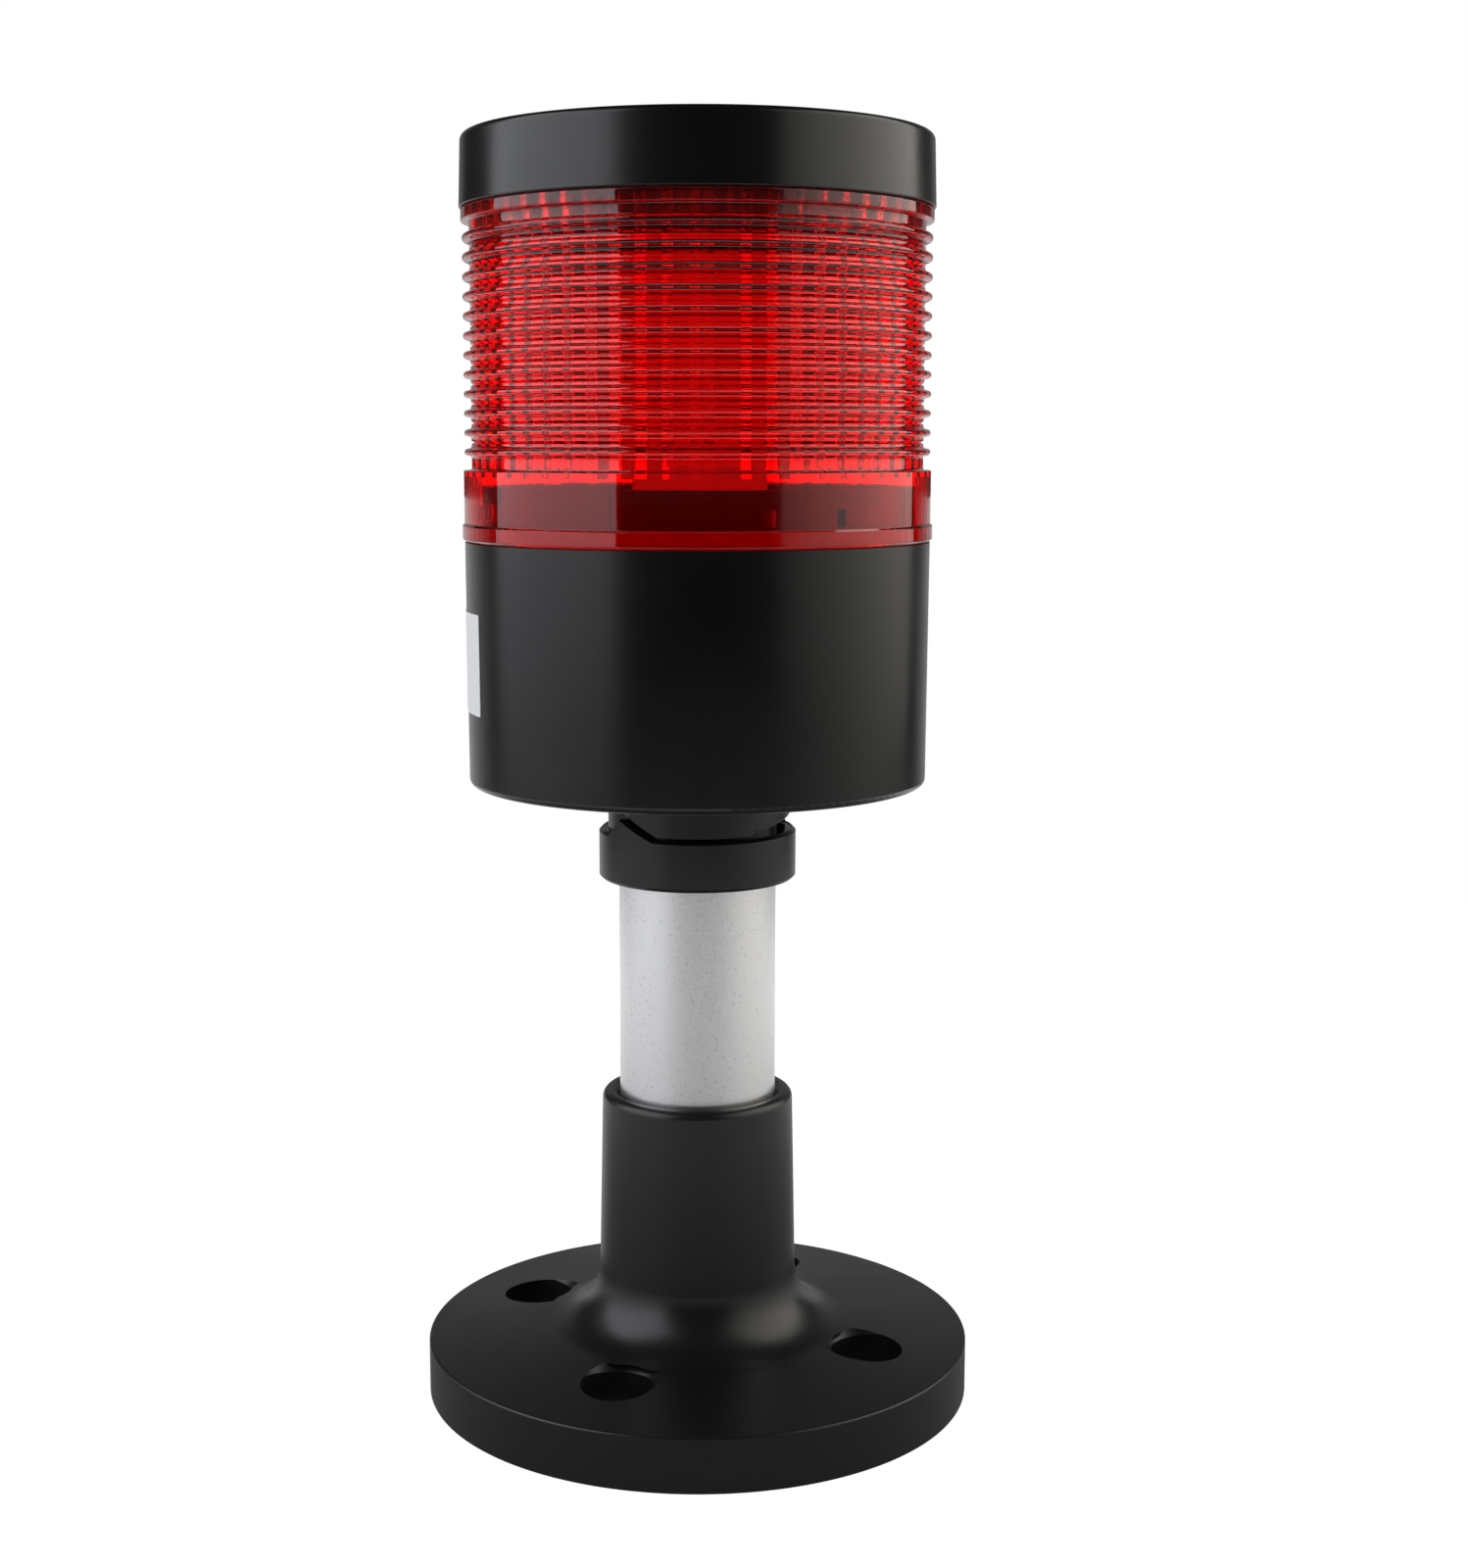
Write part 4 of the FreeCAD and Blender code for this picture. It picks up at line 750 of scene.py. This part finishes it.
class STACKLIGHT_OT_label(bpy.types.Operator):
    """Lay the blank label on the housing"""

    bl_idname = "stacklight.label"
    bl_label = "Blank label"

    FLOOR = 95.4 * MM
    EDGE = math.radians(-86.5)
    LOW = 106.7 * MM
    CORNER = 0.4 * MM
    THICKNESS = 0.09 * MM
    LIFT = 0.02 * MM
    WALL_BOTTOM = 34.48 * MM
    ROWS = 24
    COLUMNS = 32

    def half_width(self, height, sizes):
        """Half of the label's width at a height, less at its round corners."""
        near = min(height, sizes.label_height - height)
        missing = max(0.0, self.CORNER - near)
        return sizes.label_width / 2 - self.CORNER + math.sqrt(self.CORNER ** 2 - missing ** 2)

    def execute(self, context):
        sizes = context.scene.stack_light_sizes
        top = LENS_SEAL_BOX[0].z
        draft = (BODY_BOX[1].x - self.WALL_BOTTOM) / (top - self.FLOOR)
        middle = self.EDGE - sizes.label_width / 2 / BODY_BOX[1].x
        half_height = sizes.label_height / 2
        steps = [(1 - math.cos(math.pi * row / self.ROWS)) * half_height for row in range(self.ROWS + 1)]
        shape = bmesh.new()
        sheets = []
        for lift in (self.LIFT, self.LIFT + self.THICKNESS):
            grid = []
            for height in steps:
                wall = self.WALL_BOTTOM + draft * (self.LOW + height - self.FLOOR) + lift
                half = self.half_width(height, sizes)
                line = []
                for column in range(self.COLUMNS + 1):
                    across = half * (2 * column / self.COLUMNS - 1)
                    line.append(shape.verts.new(spot(wall, middle + across / wall, self.LOW + height)))
                grid.append(line)
            sheets.append(grid)
        for grid in sheets:
            for low, high in zip(grid, grid[1:]):
                for column in range(self.COLUMNS):
                    shape.faces.new((low[column], low[column + 1], high[column + 1], high[column]))
        borders = []
        for grid in sheets:
            right = [line[-1] for line in grid[1:-1]]
            left = [line[0] for line in grid[-2:0:-1]]
            borders.append(grid[0] + right + grid[-1][::-1] + left)
        for index in range(len(borders[0])):
            last = index - 1
            shape.faces.new((borders[0][last], borders[0][index], borders[1][index], borders[1][last]))
        bmesh.ops.recalc_face_normals(shape, faces=shape.faces)
        label = new_piece("blank_label", shape)
        shade(label)
        place_piece(label, "stand", matt_vinyl(context.scene.stack_light_colours.label))
        return {"FINISHED"}


# ---- lens and cap

def sectors(middle, width, count=3):
    """Azimuth ranges of evenly spaced lugs, as (start, end) pairs."""
    turns = [middle + index * FULL_TURN / count for index in range(count)]
    return [(turn - width / 2, turn + width / 2) for turn in turns]


def inside(angle, ranges):
    """Whether an azimuth lies in one of the ranges."""
    return any((angle - start) % FULL_TURN <= end - start for start, end in ranges)


def side_angles(ranges):
    """Azimuths that give the lugs upright sides."""
    sliver = math.radians(0.04)
    angles = []
    for start, end in ranges:
        angles += [start - sliver, start, end, end + sliver]
    return angles


def in_order(angles):
    """Azimuths in order round the axis, each once."""
    return sorted({round(angle % FULL_TURN, 6) for angle in angles})


TAB_RANGES = sectors(HEAD_TURN + math.radians(30), math.radians(16))
CAP_LUG_REACH = 1.4 * MM
SPIGOT_RADIUS = 29.6 * MM
LUG_STEP = 0.02 * MM


class STACKLIGHT_OT_lens(bpy.types.Operator):
    """Model the ribbed and fluted lens with its bayonet lugs and cap tabs"""

    bl_idname = "stacklight.lens"
    bl_label = "Lens"

    LIP_HEIGHT = 2.5 * MM
    LIP_STEP = 0.3 * MM
    DRAFT = 0.15 * MM
    BAND_HEIGHT = 10.33 * MM
    BAND_WALL = 1.75 * MM
    WALL = 2.5 * MM
    RIM_HEIGHT = 1.67 * MM
    LOWER_VALLEY = 2.0 * MM
    UPPER_VALLEY = 1.7 * MM
    FLUTE_BOTTOM = 141.4 * MM
    FLUTE_PITCH = math.radians(6.5)
    FLUTE_STEPS = (0, 0.07, 0.43, 0.57, 0.93)
    FLUTE_ROUND = 0.08
    LUG_TIP = 31.2 * MM
    LUG_LOW = 134.8 * MM
    LUG_HEIGHT = 2.4 * MM
    LUG_RANGES = sectors(HEAD_TURN + math.radians(22), math.radians(20))
    TAB_LOW = 176.8 * MM
    TAB_HEIGHT = 2.0 * MM
    TINY = 0.1 * MM
    EDGE_ROUND = 0.15 * MM

    def flute_fraction(self, share):
        """How far a flute is cut, from 0 at a crest to 1 in its valley, with both softened."""
        climb = 1 - abs(2 * share - 1)
        soft = 2 * self.FLUTE_ROUND
        if climb < soft:
            return (climb ** 2 + soft ** 2) / (2 * soft)
        if climb > 1 - soft:
            return 1 - ((1 - climb) ** 2 + soft ** 2) / (2 * soft)
        return climb

    def execute(self, context):
        sizes = context.scene.stack_light_sizes
        bottom = LENS_BOX[0].z
        top = LENS_BOX[1].z
        lip = LENS_BOX[1].x
        band = lip - self.LIP_STEP
        tip = band - self.DRAFT
        wall = tip - sizes.ridge_depth
        bore = band - self.BAND_WALL
        valley = tip - self.WALL
        inner_crest = valley - sizes.flute_depth
        rim_bore = LENS_SEAL_BOX[1].x + PART_GAP
        seal_top = LENS_SEAL_BOX[1].z + PART_GAP
        band_top = bottom + self.BAND_HEIGHT
        lip_top = bottom + self.LIP_HEIGHT
        rim_low = top - self.RIM_HEIGHT
        fillet = sizes.ridge_fillet
        corners = [
            (rim_bore, bottom, self.TINY),
            (band, bottom, self.TINY),
            (lip, bottom + self.LIP_STEP, self.TINY),
            (lip, lip_top - self.LIP_STEP, self.TINY),
            (band, lip_top, self.TINY),
            (band, band_top, self.EDGE_ROUND),
            (wall, band_top, fillet),
        ]
        first = band_top + self.LOWER_VALLEY + sizes.ridge_root / 2
        last = rim_low - self.UPPER_VALLEY - sizes.ridge_root / 2
        pitch = (last - first) / (sizes.ridge_count - 1)
        for index in range(sizes.ridge_count):
            middle = first + pitch * index
            if index:
                groove = middle - pitch / 2
                corners.append((wall, groove - sizes.groove_width / 2))
                corners.append((wall - sizes.groove_depth, groove))
                corners.append((wall, groove + sizes.groove_width / 2))
            corners.append((wall, middle - sizes.ridge_root / 2, fillet))
            corners.append((tip, middle - sizes.ridge_tip / 2, sizes.ridge_round))
            corners.append((tip, middle + sizes.ridge_tip / 2, sizes.ridge_round))
            corners.append((wall, middle + sizes.ridge_root / 2, fillet))
        corners += [
            (wall, rim_low, fillet),
            (band, rim_low, self.EDGE_ROUND),
            (band, top, self.EDGE_ROUND),
            (inner_crest, top, 0, "flute"),
            (inner_crest, self.TAB_LOW + self.TAB_HEIGHT + LUG_STEP, 0, "flute"),
            (inner_crest, self.TAB_LOW + self.TAB_HEIGHT, 0, "tab"),
            (inner_crest, self.TAB_LOW, 0, "tab"),
            (inner_crest, self.TAB_LOW - LUG_STEP, 0, "flute"),
            (inner_crest, self.FLUTE_BOTTOM, 0, "flute"),
            (bore, self.FLUTE_BOTTOM),
            (bore, self.LUG_LOW + self.LUG_HEIGHT + LUG_STEP),
            (bore, self.LUG_LOW + self.LUG_HEIGHT, 0, "lug"),
            (bore, self.LUG_LOW, 0, "lug"),
            (bore, self.LUG_LOW - LUG_STEP),
            (bore, seal_top),
            (rim_bore, seal_top),
        ]
        land = FULL_TURN - sizes.flute_count * self.FLUTE_PITCH
        start = HEAD_TURN + land / 2

        def fluted(angle, radius, height):
            along = (angle - start) % FULL_TURN
            if along > FULL_TURN - land:
                return radius, height
            share = along / self.FLUTE_PITCH % 1
            return radius + sizes.flute_depth * self.flute_fraction(share), height

        def tabbed(angle, radius, height):
            if inside(angle, TAB_RANGES):
                return SPIGOT_RADIUS + PART_GAP, height
            return fluted(angle, radius, height)

        def lugged(angle, radius, height):
            return (self.LUG_TIP, height) if inside(angle, self.LUG_RANGES) else (radius, height)

        angles = side_angles(TAB_RANGES) + side_angles(self.LUG_RANGES)
        for index in range(sizes.flute_count):
            angles += [start + (index + step) * self.FLUTE_PITCH for step in self.FLUTE_STEPS]
        angles.append(start - land)
        shapes = {"flute": fluted, "tab": tabbed, "lug": lugged}
        lens = turned("lens_shell", softened(corners, 3), in_order(angles), shapes)
        shade(lens, 38)
        material = clear_red_polycarbonate(context.scene.stack_light_colours.lens)
        place_piece(lens, "lens", material, ["lens"])
        return {"FINISHED"}


class STACKLIGHT_OT_cap(bpy.types.Operator):
    """Model the cap with its soft upper edge, spigot and lugs"""

    bl_idname = "stacklight.cap"
    bl_label = "Cap"

    DRAFT = 0.3 * MM
    ROOF = 2.2 * MM
    WALL = 2.6 * MM
    SPIGOT_WALL = 2.0 * MM
    LUG_HEIGHT = 1.9 * MM
    LOWER_ROUND = 0.2 * MM
    SEAM_GAP = 0.25 * MM
    GROOVE_WIDTH = 1.2 * MM
    LAMP_RADIUS = 35.0 * MM

    def execute(self, context):
        sizes = context.scene.stack_light_sizes
        bottom = LENS_BOX[1].z + self.SEAM_GAP
        top = CAP_BOX[1].z
        low = CAP_BOX[0].z
        radius = self.LAMP_RADIUS
        roof = top - self.ROOF
        groove_outer = CAP_SEAL_BOX[1].x + SLIDE_GAP
        groove_inner = groove_outer - self.GROOVE_WIDTH
        groove_top = CAP_SEAL_BOX[1].z
        lug_top = low + self.LUG_HEIGHT
        corners = [
            (0, top),
            (radius - self.DRAFT, top, sizes.cap_round),
            (radius, bottom, self.LOWER_ROUND),
            (groove_outer, bottom),
            (groove_outer, groove_top),
            (groove_inner, groove_top),
            (groove_inner, bottom),
            (radius - self.WALL, bottom),
            (radius - self.WALL, roof),
            (SPIGOT_RADIUS, roof),
            (SPIGOT_RADIUS, lug_top + LUG_STEP),
            (SPIGOT_RADIUS, lug_top, 0, "lug"),
            (SPIGOT_RADIUS, low, 0, "lug"),
            (SPIGOT_RADIUS - self.SPIGOT_WALL, low),
            (SPIGOT_RADIUS - self.SPIGOT_WALL, roof),
            (0, roof),
        ]

        def lugged(angle, radius, height):
            return (radius + CAP_LUG_REACH, height) if inside(angle, TAB_RANGES) else (radius, height)

        angles = in_order(even_angles(256) + side_angles(TAB_RANGES))
        cap = turned("cap_lid", softened(corners, 6), angles, {"lug": lugged})
        shade(cap)
        material = satin_abs("satin_abs_cap", context.scene.stack_light_colours.housing, 0.22, 0.28)
        place_piece(cap, "cap", material, ["cap"])
        return {"FINISHED"}


# ---- small pieces

class STACKLIGHT_OT_seals(bpy.types.Operator):
    """Finish the seals and the cable grommet"""

    bl_idname = "stacklight.seals"
    bl_label = "Seals and grommet"

    def execute(self, context):
        dress_nodes(cast_silicone(context.scene.stack_light_colours.silicone), "lens_seal")
        dress_nodes(nitrile_rubber(), "cap_seal", "cable_grommet")
        return {"FINISHED"}


class STACKLIGHT_OT_screws(bpy.types.Operator):
    """Finish the screws"""

    bl_idname = "stacklight.screws"
    bl_label = "Screws"

    def execute(self, context):
        dress_nodes(zinc_plated_steel(), "grub_screws", "socket_screws", "carrier_screws", "board_screws",
                    "column_screws", "terminal_screws")
        return {"FINISHED"}


class STACKLIGHT_OT_light_column(bpy.types.Operator):
    """Finish the light column, its boards and its LEDs"""

    bl_idname = "stacklight.light_column"
    bl_label = "Light column"

    def execute(self, context):
        boards = [name for name in frame["nodes"] if name.startswith("led_board_")]
        dress_nodes(white_pbt(), "light_column")
        dress_nodes(white_lacquer(), *boards)
        dress_nodes(led_epoxy(), "leds")
        return {"FINISHED"}


class STACKLIGHT_OT_electrics(bpy.types.Operator):
    """Finish the driver board, its components, the pins and the terminals"""

    bl_idname = "stacklight.electrics"
    bl_label = "Electrics"

    def execute(self, context):
        dress_nodes(green_lacquer(), "driver_board")
        dress_nodes(can_aluminium(), "board_capacitor")
        dress_nodes(pressed_ferrite(), "board_choke")
        dress_nodes(turned_brass(), "contact_pins", "wire_cages")
        dress_nodes(terminal_nylon(), "terminal_block")
        return {"FINISHED"}


# ---- stage

class STACKLIGHT_OT_stage(bpy.types.Operator):
    """Lay the floor, hang the softboxes and set up the camera"""

    bl_idname = "stacklight.stage"
    bl_label = "Stage"

    FLOOR_RADIUS = 6.0
    FLOOR_DEPTH = 0.01
    FLOOR_GLOW = 1.0
    SHADOW_ROOM = 0.03
    BRUSH = 40 * MM
    # Painted pool of light on the floor, for reflections: dark under the light, bright in a ring round it,
    # black beyond it; the floor's colour and its glow both follow it.
    PAINTED_POOL_RISE = (0.13, 0.27)
    PAINTED_POOL_FALL = (0.32, 0.46)
    PAINTED_POOL_TONES = (0.2, 0.98)
    PAINTED_POOL_GLOW = 0.75
    # Painted glow on the floor behind the light, standing in for a backdrop in reflections.
    PAINTED_SWEEP_AZIMUTH = math.radians(-172)
    PAINTED_SWEEP_EDGES = (0.55, 0.95)
    PAINTED_SWEEP_GLOW = 0.6
    BOX_DISTANCE = 0.62
    BOX_HEIGHT = 1.0
    BOX_FOOT = 0.28
    BOX_FOOT_TONE = 0.25
    BOX_SIDE = 0.6
    LEFT_AZIMUTH = math.radians(-75)
    LEFT_WIDTH = 0.93
    RIGHT_AZIMUTH = math.radians(82)
    RIGHT_WIDTH = 1.18
    RIGHT_INNER_TONE = 0.2
    COOL = (0.94, 0.96, 1.0)
    WARM = (1.0, 0.97, 0.9)
    DARK_ROOM = 0.04
    THROUGH = 1.85
    GLANCED = 0.5
    BACK_DISTANCE = 1.5
    BACK_SIZE = (1.6, 0.65)
    BACK_LOW = 0.15
    BACK_GLOW = 0.24

    def seen(self, tree, straight):
        """How bright the surroundings look to the camera or through the lens; 0 to any other ray."""
        path = add(tree, "ShaderNodeLightPath").outputs
        level = add(tree, "ShaderNodeMapRange", {
            "Value": path["Glossy Depth"], "To Min": self.THROUGH, "To Max": self.GLANCED,
        })
        lens_side = add(tree, "ShaderNodeMath", {
            0: path["Is Transmission Ray"], 1: level,
        }, operation="MULTIPLY")
        camera_side = add(tree, "ShaderNodeMath", {
            0: path["Is Camera Ray"], 1: straight,
        }, operation="MULTIPLY")
        return add(tree, "ShaderNodeMath", {
            0: lens_side, 1: camera_side,
        }, operation="MAXIMUM")

    def painted_floor(self, tint, azimuth):
        """Floor painted matt white and pale to the eye; for reflections it carries a painted ring of light
        round the light, painted shade under it and beyond it, and a painted glow behind it.
        """
        material, tree, place = blank_material("painted_floor")
        away = add(tree, "ShaderNodeVectorMath", {0: place}, operation="LENGTH")
        # Painted shade under the light, a painted ring of light round it and painted shade beyond it, by
        # distance from the axis.
        rise = add(tree, "ShaderNodeMapRange", {
            "Value": away, "From Min": self.PAINTED_POOL_RISE[0], "From Max": self.PAINTED_POOL_RISE[1],
            "To Min": self.PAINTED_POOL_TONES[0], "To Max": self.PAINTED_POOL_TONES[1],
        })
        fall = add(tree, "ShaderNodeMapRange", {
            "Value": away, "From Min": self.PAINTED_POOL_FALL[0], "From Max": self.PAINTED_POOL_FALL[1],
            "To Min": 1.0, "To Max": 0.0,
        })
        painted_pool_shape = add(tree, "ShaderNodeMath", {
            0: rise, 1: fall,
        }, operation="MULTIPLY")
        brush = add(tree, "ShaderNodeTexNoise", {"Vector": place, "Scale": 1 / self.BRUSH})
        paint = add(tree, "ShaderNodeMix", {
            "Factor": brush, MIX_FIRST: tint, MIX_SECOND: scaled(tint, 0.96),
        }, data_type="RGBA")
        # The floor's colour carries the painted ring of light and the painted shade.
        painted_pool_colour = add(tree, "ShaderNodeMix", {
            "Factor": painted_pool_shape, MIX_FIRST: (0, 0, 0, 1), MIX_SECOND: paint,
        }, data_type="RGBA")
        matt = add(tree, "ShaderNodeBsdfDiffuse", {"Color": painted_pool_colour})
        straight = add(tree, "ShaderNodeMapRange", {
            "Value": fall, "To Min": self.FLOOR_GLOW, "To Max": self.FLOOR_GLOW - self.SHADOW_ROOM,
        })
        # The painted ring of light also glows, for reflections.
        pool = add(tree, "ShaderNodeMath", {0: painted_pool_shape, 1: self.PAINTED_POOL_GLOW}, operation="MULTIPLY")
        # Painted glow on the floor behind the light, for reflections.
        outwards = add(tree, "ShaderNodeVectorMath", {0: place}, operation="NORMALIZE")
        behind = add(tree, "ShaderNodeVectorMath", {
            0: outwards, 1: spot(1.0, azimuth + self.PAINTED_SWEEP_AZIMUTH),
        }, operation="DOT_PRODUCT")
        painted_sweep_glow = add(tree, "ShaderNodeMapRange", {
            "Value": behind, "From Min": self.PAINTED_SWEEP_EDGES[0],
            "From Max": self.PAINTED_SWEEP_EDGES[1], "To Min": 0.0, "To Max": self.PAINTED_SWEEP_GLOW,
        })
        glow = add(tree, "ShaderNodeMath", {
            0: pool, 1: painted_sweep_glow,
        }, operation="MAXIMUM")
        level = add(tree, "ShaderNodeMath", {
            0: self.seen(tree, straight), 1: glow,
        }, operation="MAXIMUM")
        light = add(tree, "ShaderNodeEmission", {"Strength": level})
        both = add(tree, "ShaderNodeAddShader", {0: matt, 1: light})
        add(tree, "ShaderNodeOutputMaterial", {"Surface": both})
        return material

    def floor(self, context):
        """Round pale floor under the foot."""
        radius, low = self.FLOOR_RADIUS, -self.FLOOR_DEPTH
        ring = [(0, 0), (radius, 0), (radius, low), (0, low)]
        floor = turned("studio_floor", ring, even_angles(64))
        azimuth = context.scene.stack_light_studio.azimuth
        dress(floor, self.painted_floor(context.scene.stack_light_colours.floor, azimuth))

    def lamp(self, context, name, azimuth, distance, size, low, glow, tint=(1, 1, 1)):
        """Upright area lamp that faces the light; size is its width and height, low its lower edge."""
        studio = context.scene.stack_light_studio
        sheet = bpy.data.lights.new(name, "AREA")
        sheet.shape = "RECTANGLE"
        sheet.size, sheet.size_y = size
        sheet.energy = glow * math.pi * size[0] * size[1]
        sheet.color = tint
        lamp = bpy.data.objects.new(name, sheet)
        lamp.location = spot(distance, studio.azimuth + azimuth, low + size[1] / 2)
        lamp.rotation_euler = (math.pi / 2, 0, studio.azimuth + azimuth)
        lamp.visible_camera = False
        context.scene.collection.objects.link(lamp)
        return lamp

    def softbox(self, context, name, azimuth, width, tint, inner, outer):
        """Tall softbox, dimmer at its foot; inner and outer are its sides' brightness."""
        glow = context.scene.stack_light_studio.softbox
        size = (width, self.BOX_HEIGHT)
        box = self.lamp(context, name, azimuth, self.BOX_DISTANCE, size, 0.0, glow, tint)
        box.data.use_nodes = True
        tree = box.data.node_tree
        tree.nodes.clear()
        sheet = add(tree, "ShaderNodeNewGeometry").outputs["Parametric"]
        along = add(tree, "ShaderNodeSeparateXYZ", {"Vector": sheet}).outputs
        rise = add(tree, "ShaderNodeMapRange", {
            "Value": along["Y"], "From Min": 0.0, "From Max": self.BOX_FOOT,
            "To Min": self.BOX_FOOT_TONE, "To Max": 1.0,
        })
        side = add(tree, "ShaderNodeMapRange", {
            "Value": along["X"], "From Min": 0.0, "From Max": self.BOX_SIDE,
            "To Min": inner, "To Max": outer,
        })
        level = add(tree, "ShaderNodeMath", {
            0: rise, 1: side,
        }, operation="MULTIPLY")
        light = add(tree, "ShaderNodeEmission", {"Strength": level})
        add(tree, "ShaderNodeOutputLight", {"Surface": light})

    def back_sheet(self, context):
        """Dim sheet behind the light, low down, that the foot's top mirrors."""
        sheet = self.lamp(context, "back_sheet", math.pi, self.BACK_DISTANCE, self.BACK_SIZE,
                          self.BACK_LOW, self.BACK_GLOW)
        sheet.visible_transmission = False

    def room(self, context):
        """White backdrop all round, with a dark room for reflections."""
        world = bpy.data.worlds.new("studio_room")
        world.use_nodes = True
        tree = world.node_tree
        tree.nodes.clear()
        strength = add(tree, "ShaderNodeMath", {
            0: self.seen(tree, 1.0), 1: self.DARK_ROOM,
        }, operation="MAXIMUM")
        sky = add(tree, "ShaderNodeBackground", {"Strength": strength, "Color": (1, 1, 1, 1)})
        add(tree, "ShaderNodeOutputWorld", {"Surface": sky})
        context.scene.world = world

    def camera(self, context):
        """Camera on the object's left, a little above it."""
        studio = context.scene.stack_light_studio
        view = bpy.data.cameras.new("camera")
        view.lens = studio.focal
        view.shift_x = studio.shift
        view.clip_start = 0.01
        camera = bpy.data.objects.new("camera", view)
        camera.location = spot(studio.distance, studio.azimuth, studio.height)
        camera.rotation_euler = (math.pi / 2 - studio.pitch, 0, studio.azimuth)
        context.scene.collection.objects.link(camera)
        context.scene.camera = camera

    def execute(self, context):
        self.floor(context)
        self.softbox(context, "left_softbox", self.LEFT_AZIMUTH, self.LEFT_WIDTH, self.COOL, 1.0, 1.0)
        self.softbox(context, "right_softbox", self.RIGHT_AZIMUTH, self.RIGHT_WIDTH, self.WARM,
                     self.RIGHT_INNER_TONE, 1.0)
        self.back_sheet(context)
        self.room(context)
        self.camera(context)
        context.scene.view_settings.view_transform = "Standard"
        return {"FINISHED"}


# ---- panel and registration

OPERATORS = (
    STACKLIGHT_OT_foot,
    STACKLIGHT_OT_pole,
    STACKLIGHT_OT_collar,
    STACKLIGHT_OT_housing,
    STACKLIGHT_OT_label,
    STACKLIGHT_OT_lens,
    STACKLIGHT_OT_cap,
    STACKLIGHT_OT_seals,
    STACKLIGHT_OT_screws,
    STACKLIGHT_OT_light_column,
    STACKLIGHT_OT_electrics,
    STACKLIGHT_OT_stage,
)
GROUPS = {
    "stack_light_sizes": StackLightSizes,
    "stack_light_colours": StackLightColours,
    "stack_light_studio": StackLightStudio,
}


class STACKLIGHT_PT_panel(bpy.types.Panel):
    """Sizes, colours and steps of the stack light"""

    bl_idname = "STACKLIGHT_PT_panel"
    bl_label = "Stack Light"
    bl_space_type = "VIEW_3D"
    bl_region_type = "UI"
    bl_category = "Stack Light"

    def draw(self, context):
        for group in GROUPS:
            box = self.layout.box()
            settings = getattr(context.scene, group)
            for name in settings.__annotations__:
                box.prop(settings, name)
        for operator in OPERATORS:
            self.layout.operator(operator.bl_idname)


def register():
    """Register the settings, operators and panel."""
    for group, kind in GROUPS.items():
        bpy.utils.register_class(kind)
        setattr(bpy.types.Scene, group, PointerProperty(type=kind))
    for kind in (*OPERATORS, STACKLIGHT_PT_panel):
        bpy.utils.register_class(kind)


def unregister():
    """Take the panel, operators and settings away again."""
    for kind in reversed((*OPERATORS, STACKLIGHT_PT_panel)):
        bpy.utils.unregister_class(kind)
    for group, kind in GROUPS.items():
        delattr(bpy.types.Scene, group)
        bpy.utils.unregister_class(kind)


def main():
    """Dress the stack light step by step."""
    register()
    for operator in OPERATORS:
        group, name = operator.bl_idname.split(".")
        getattr(getattr(bpy.ops, group), name)()


if __name__ == "__main__":
    main()
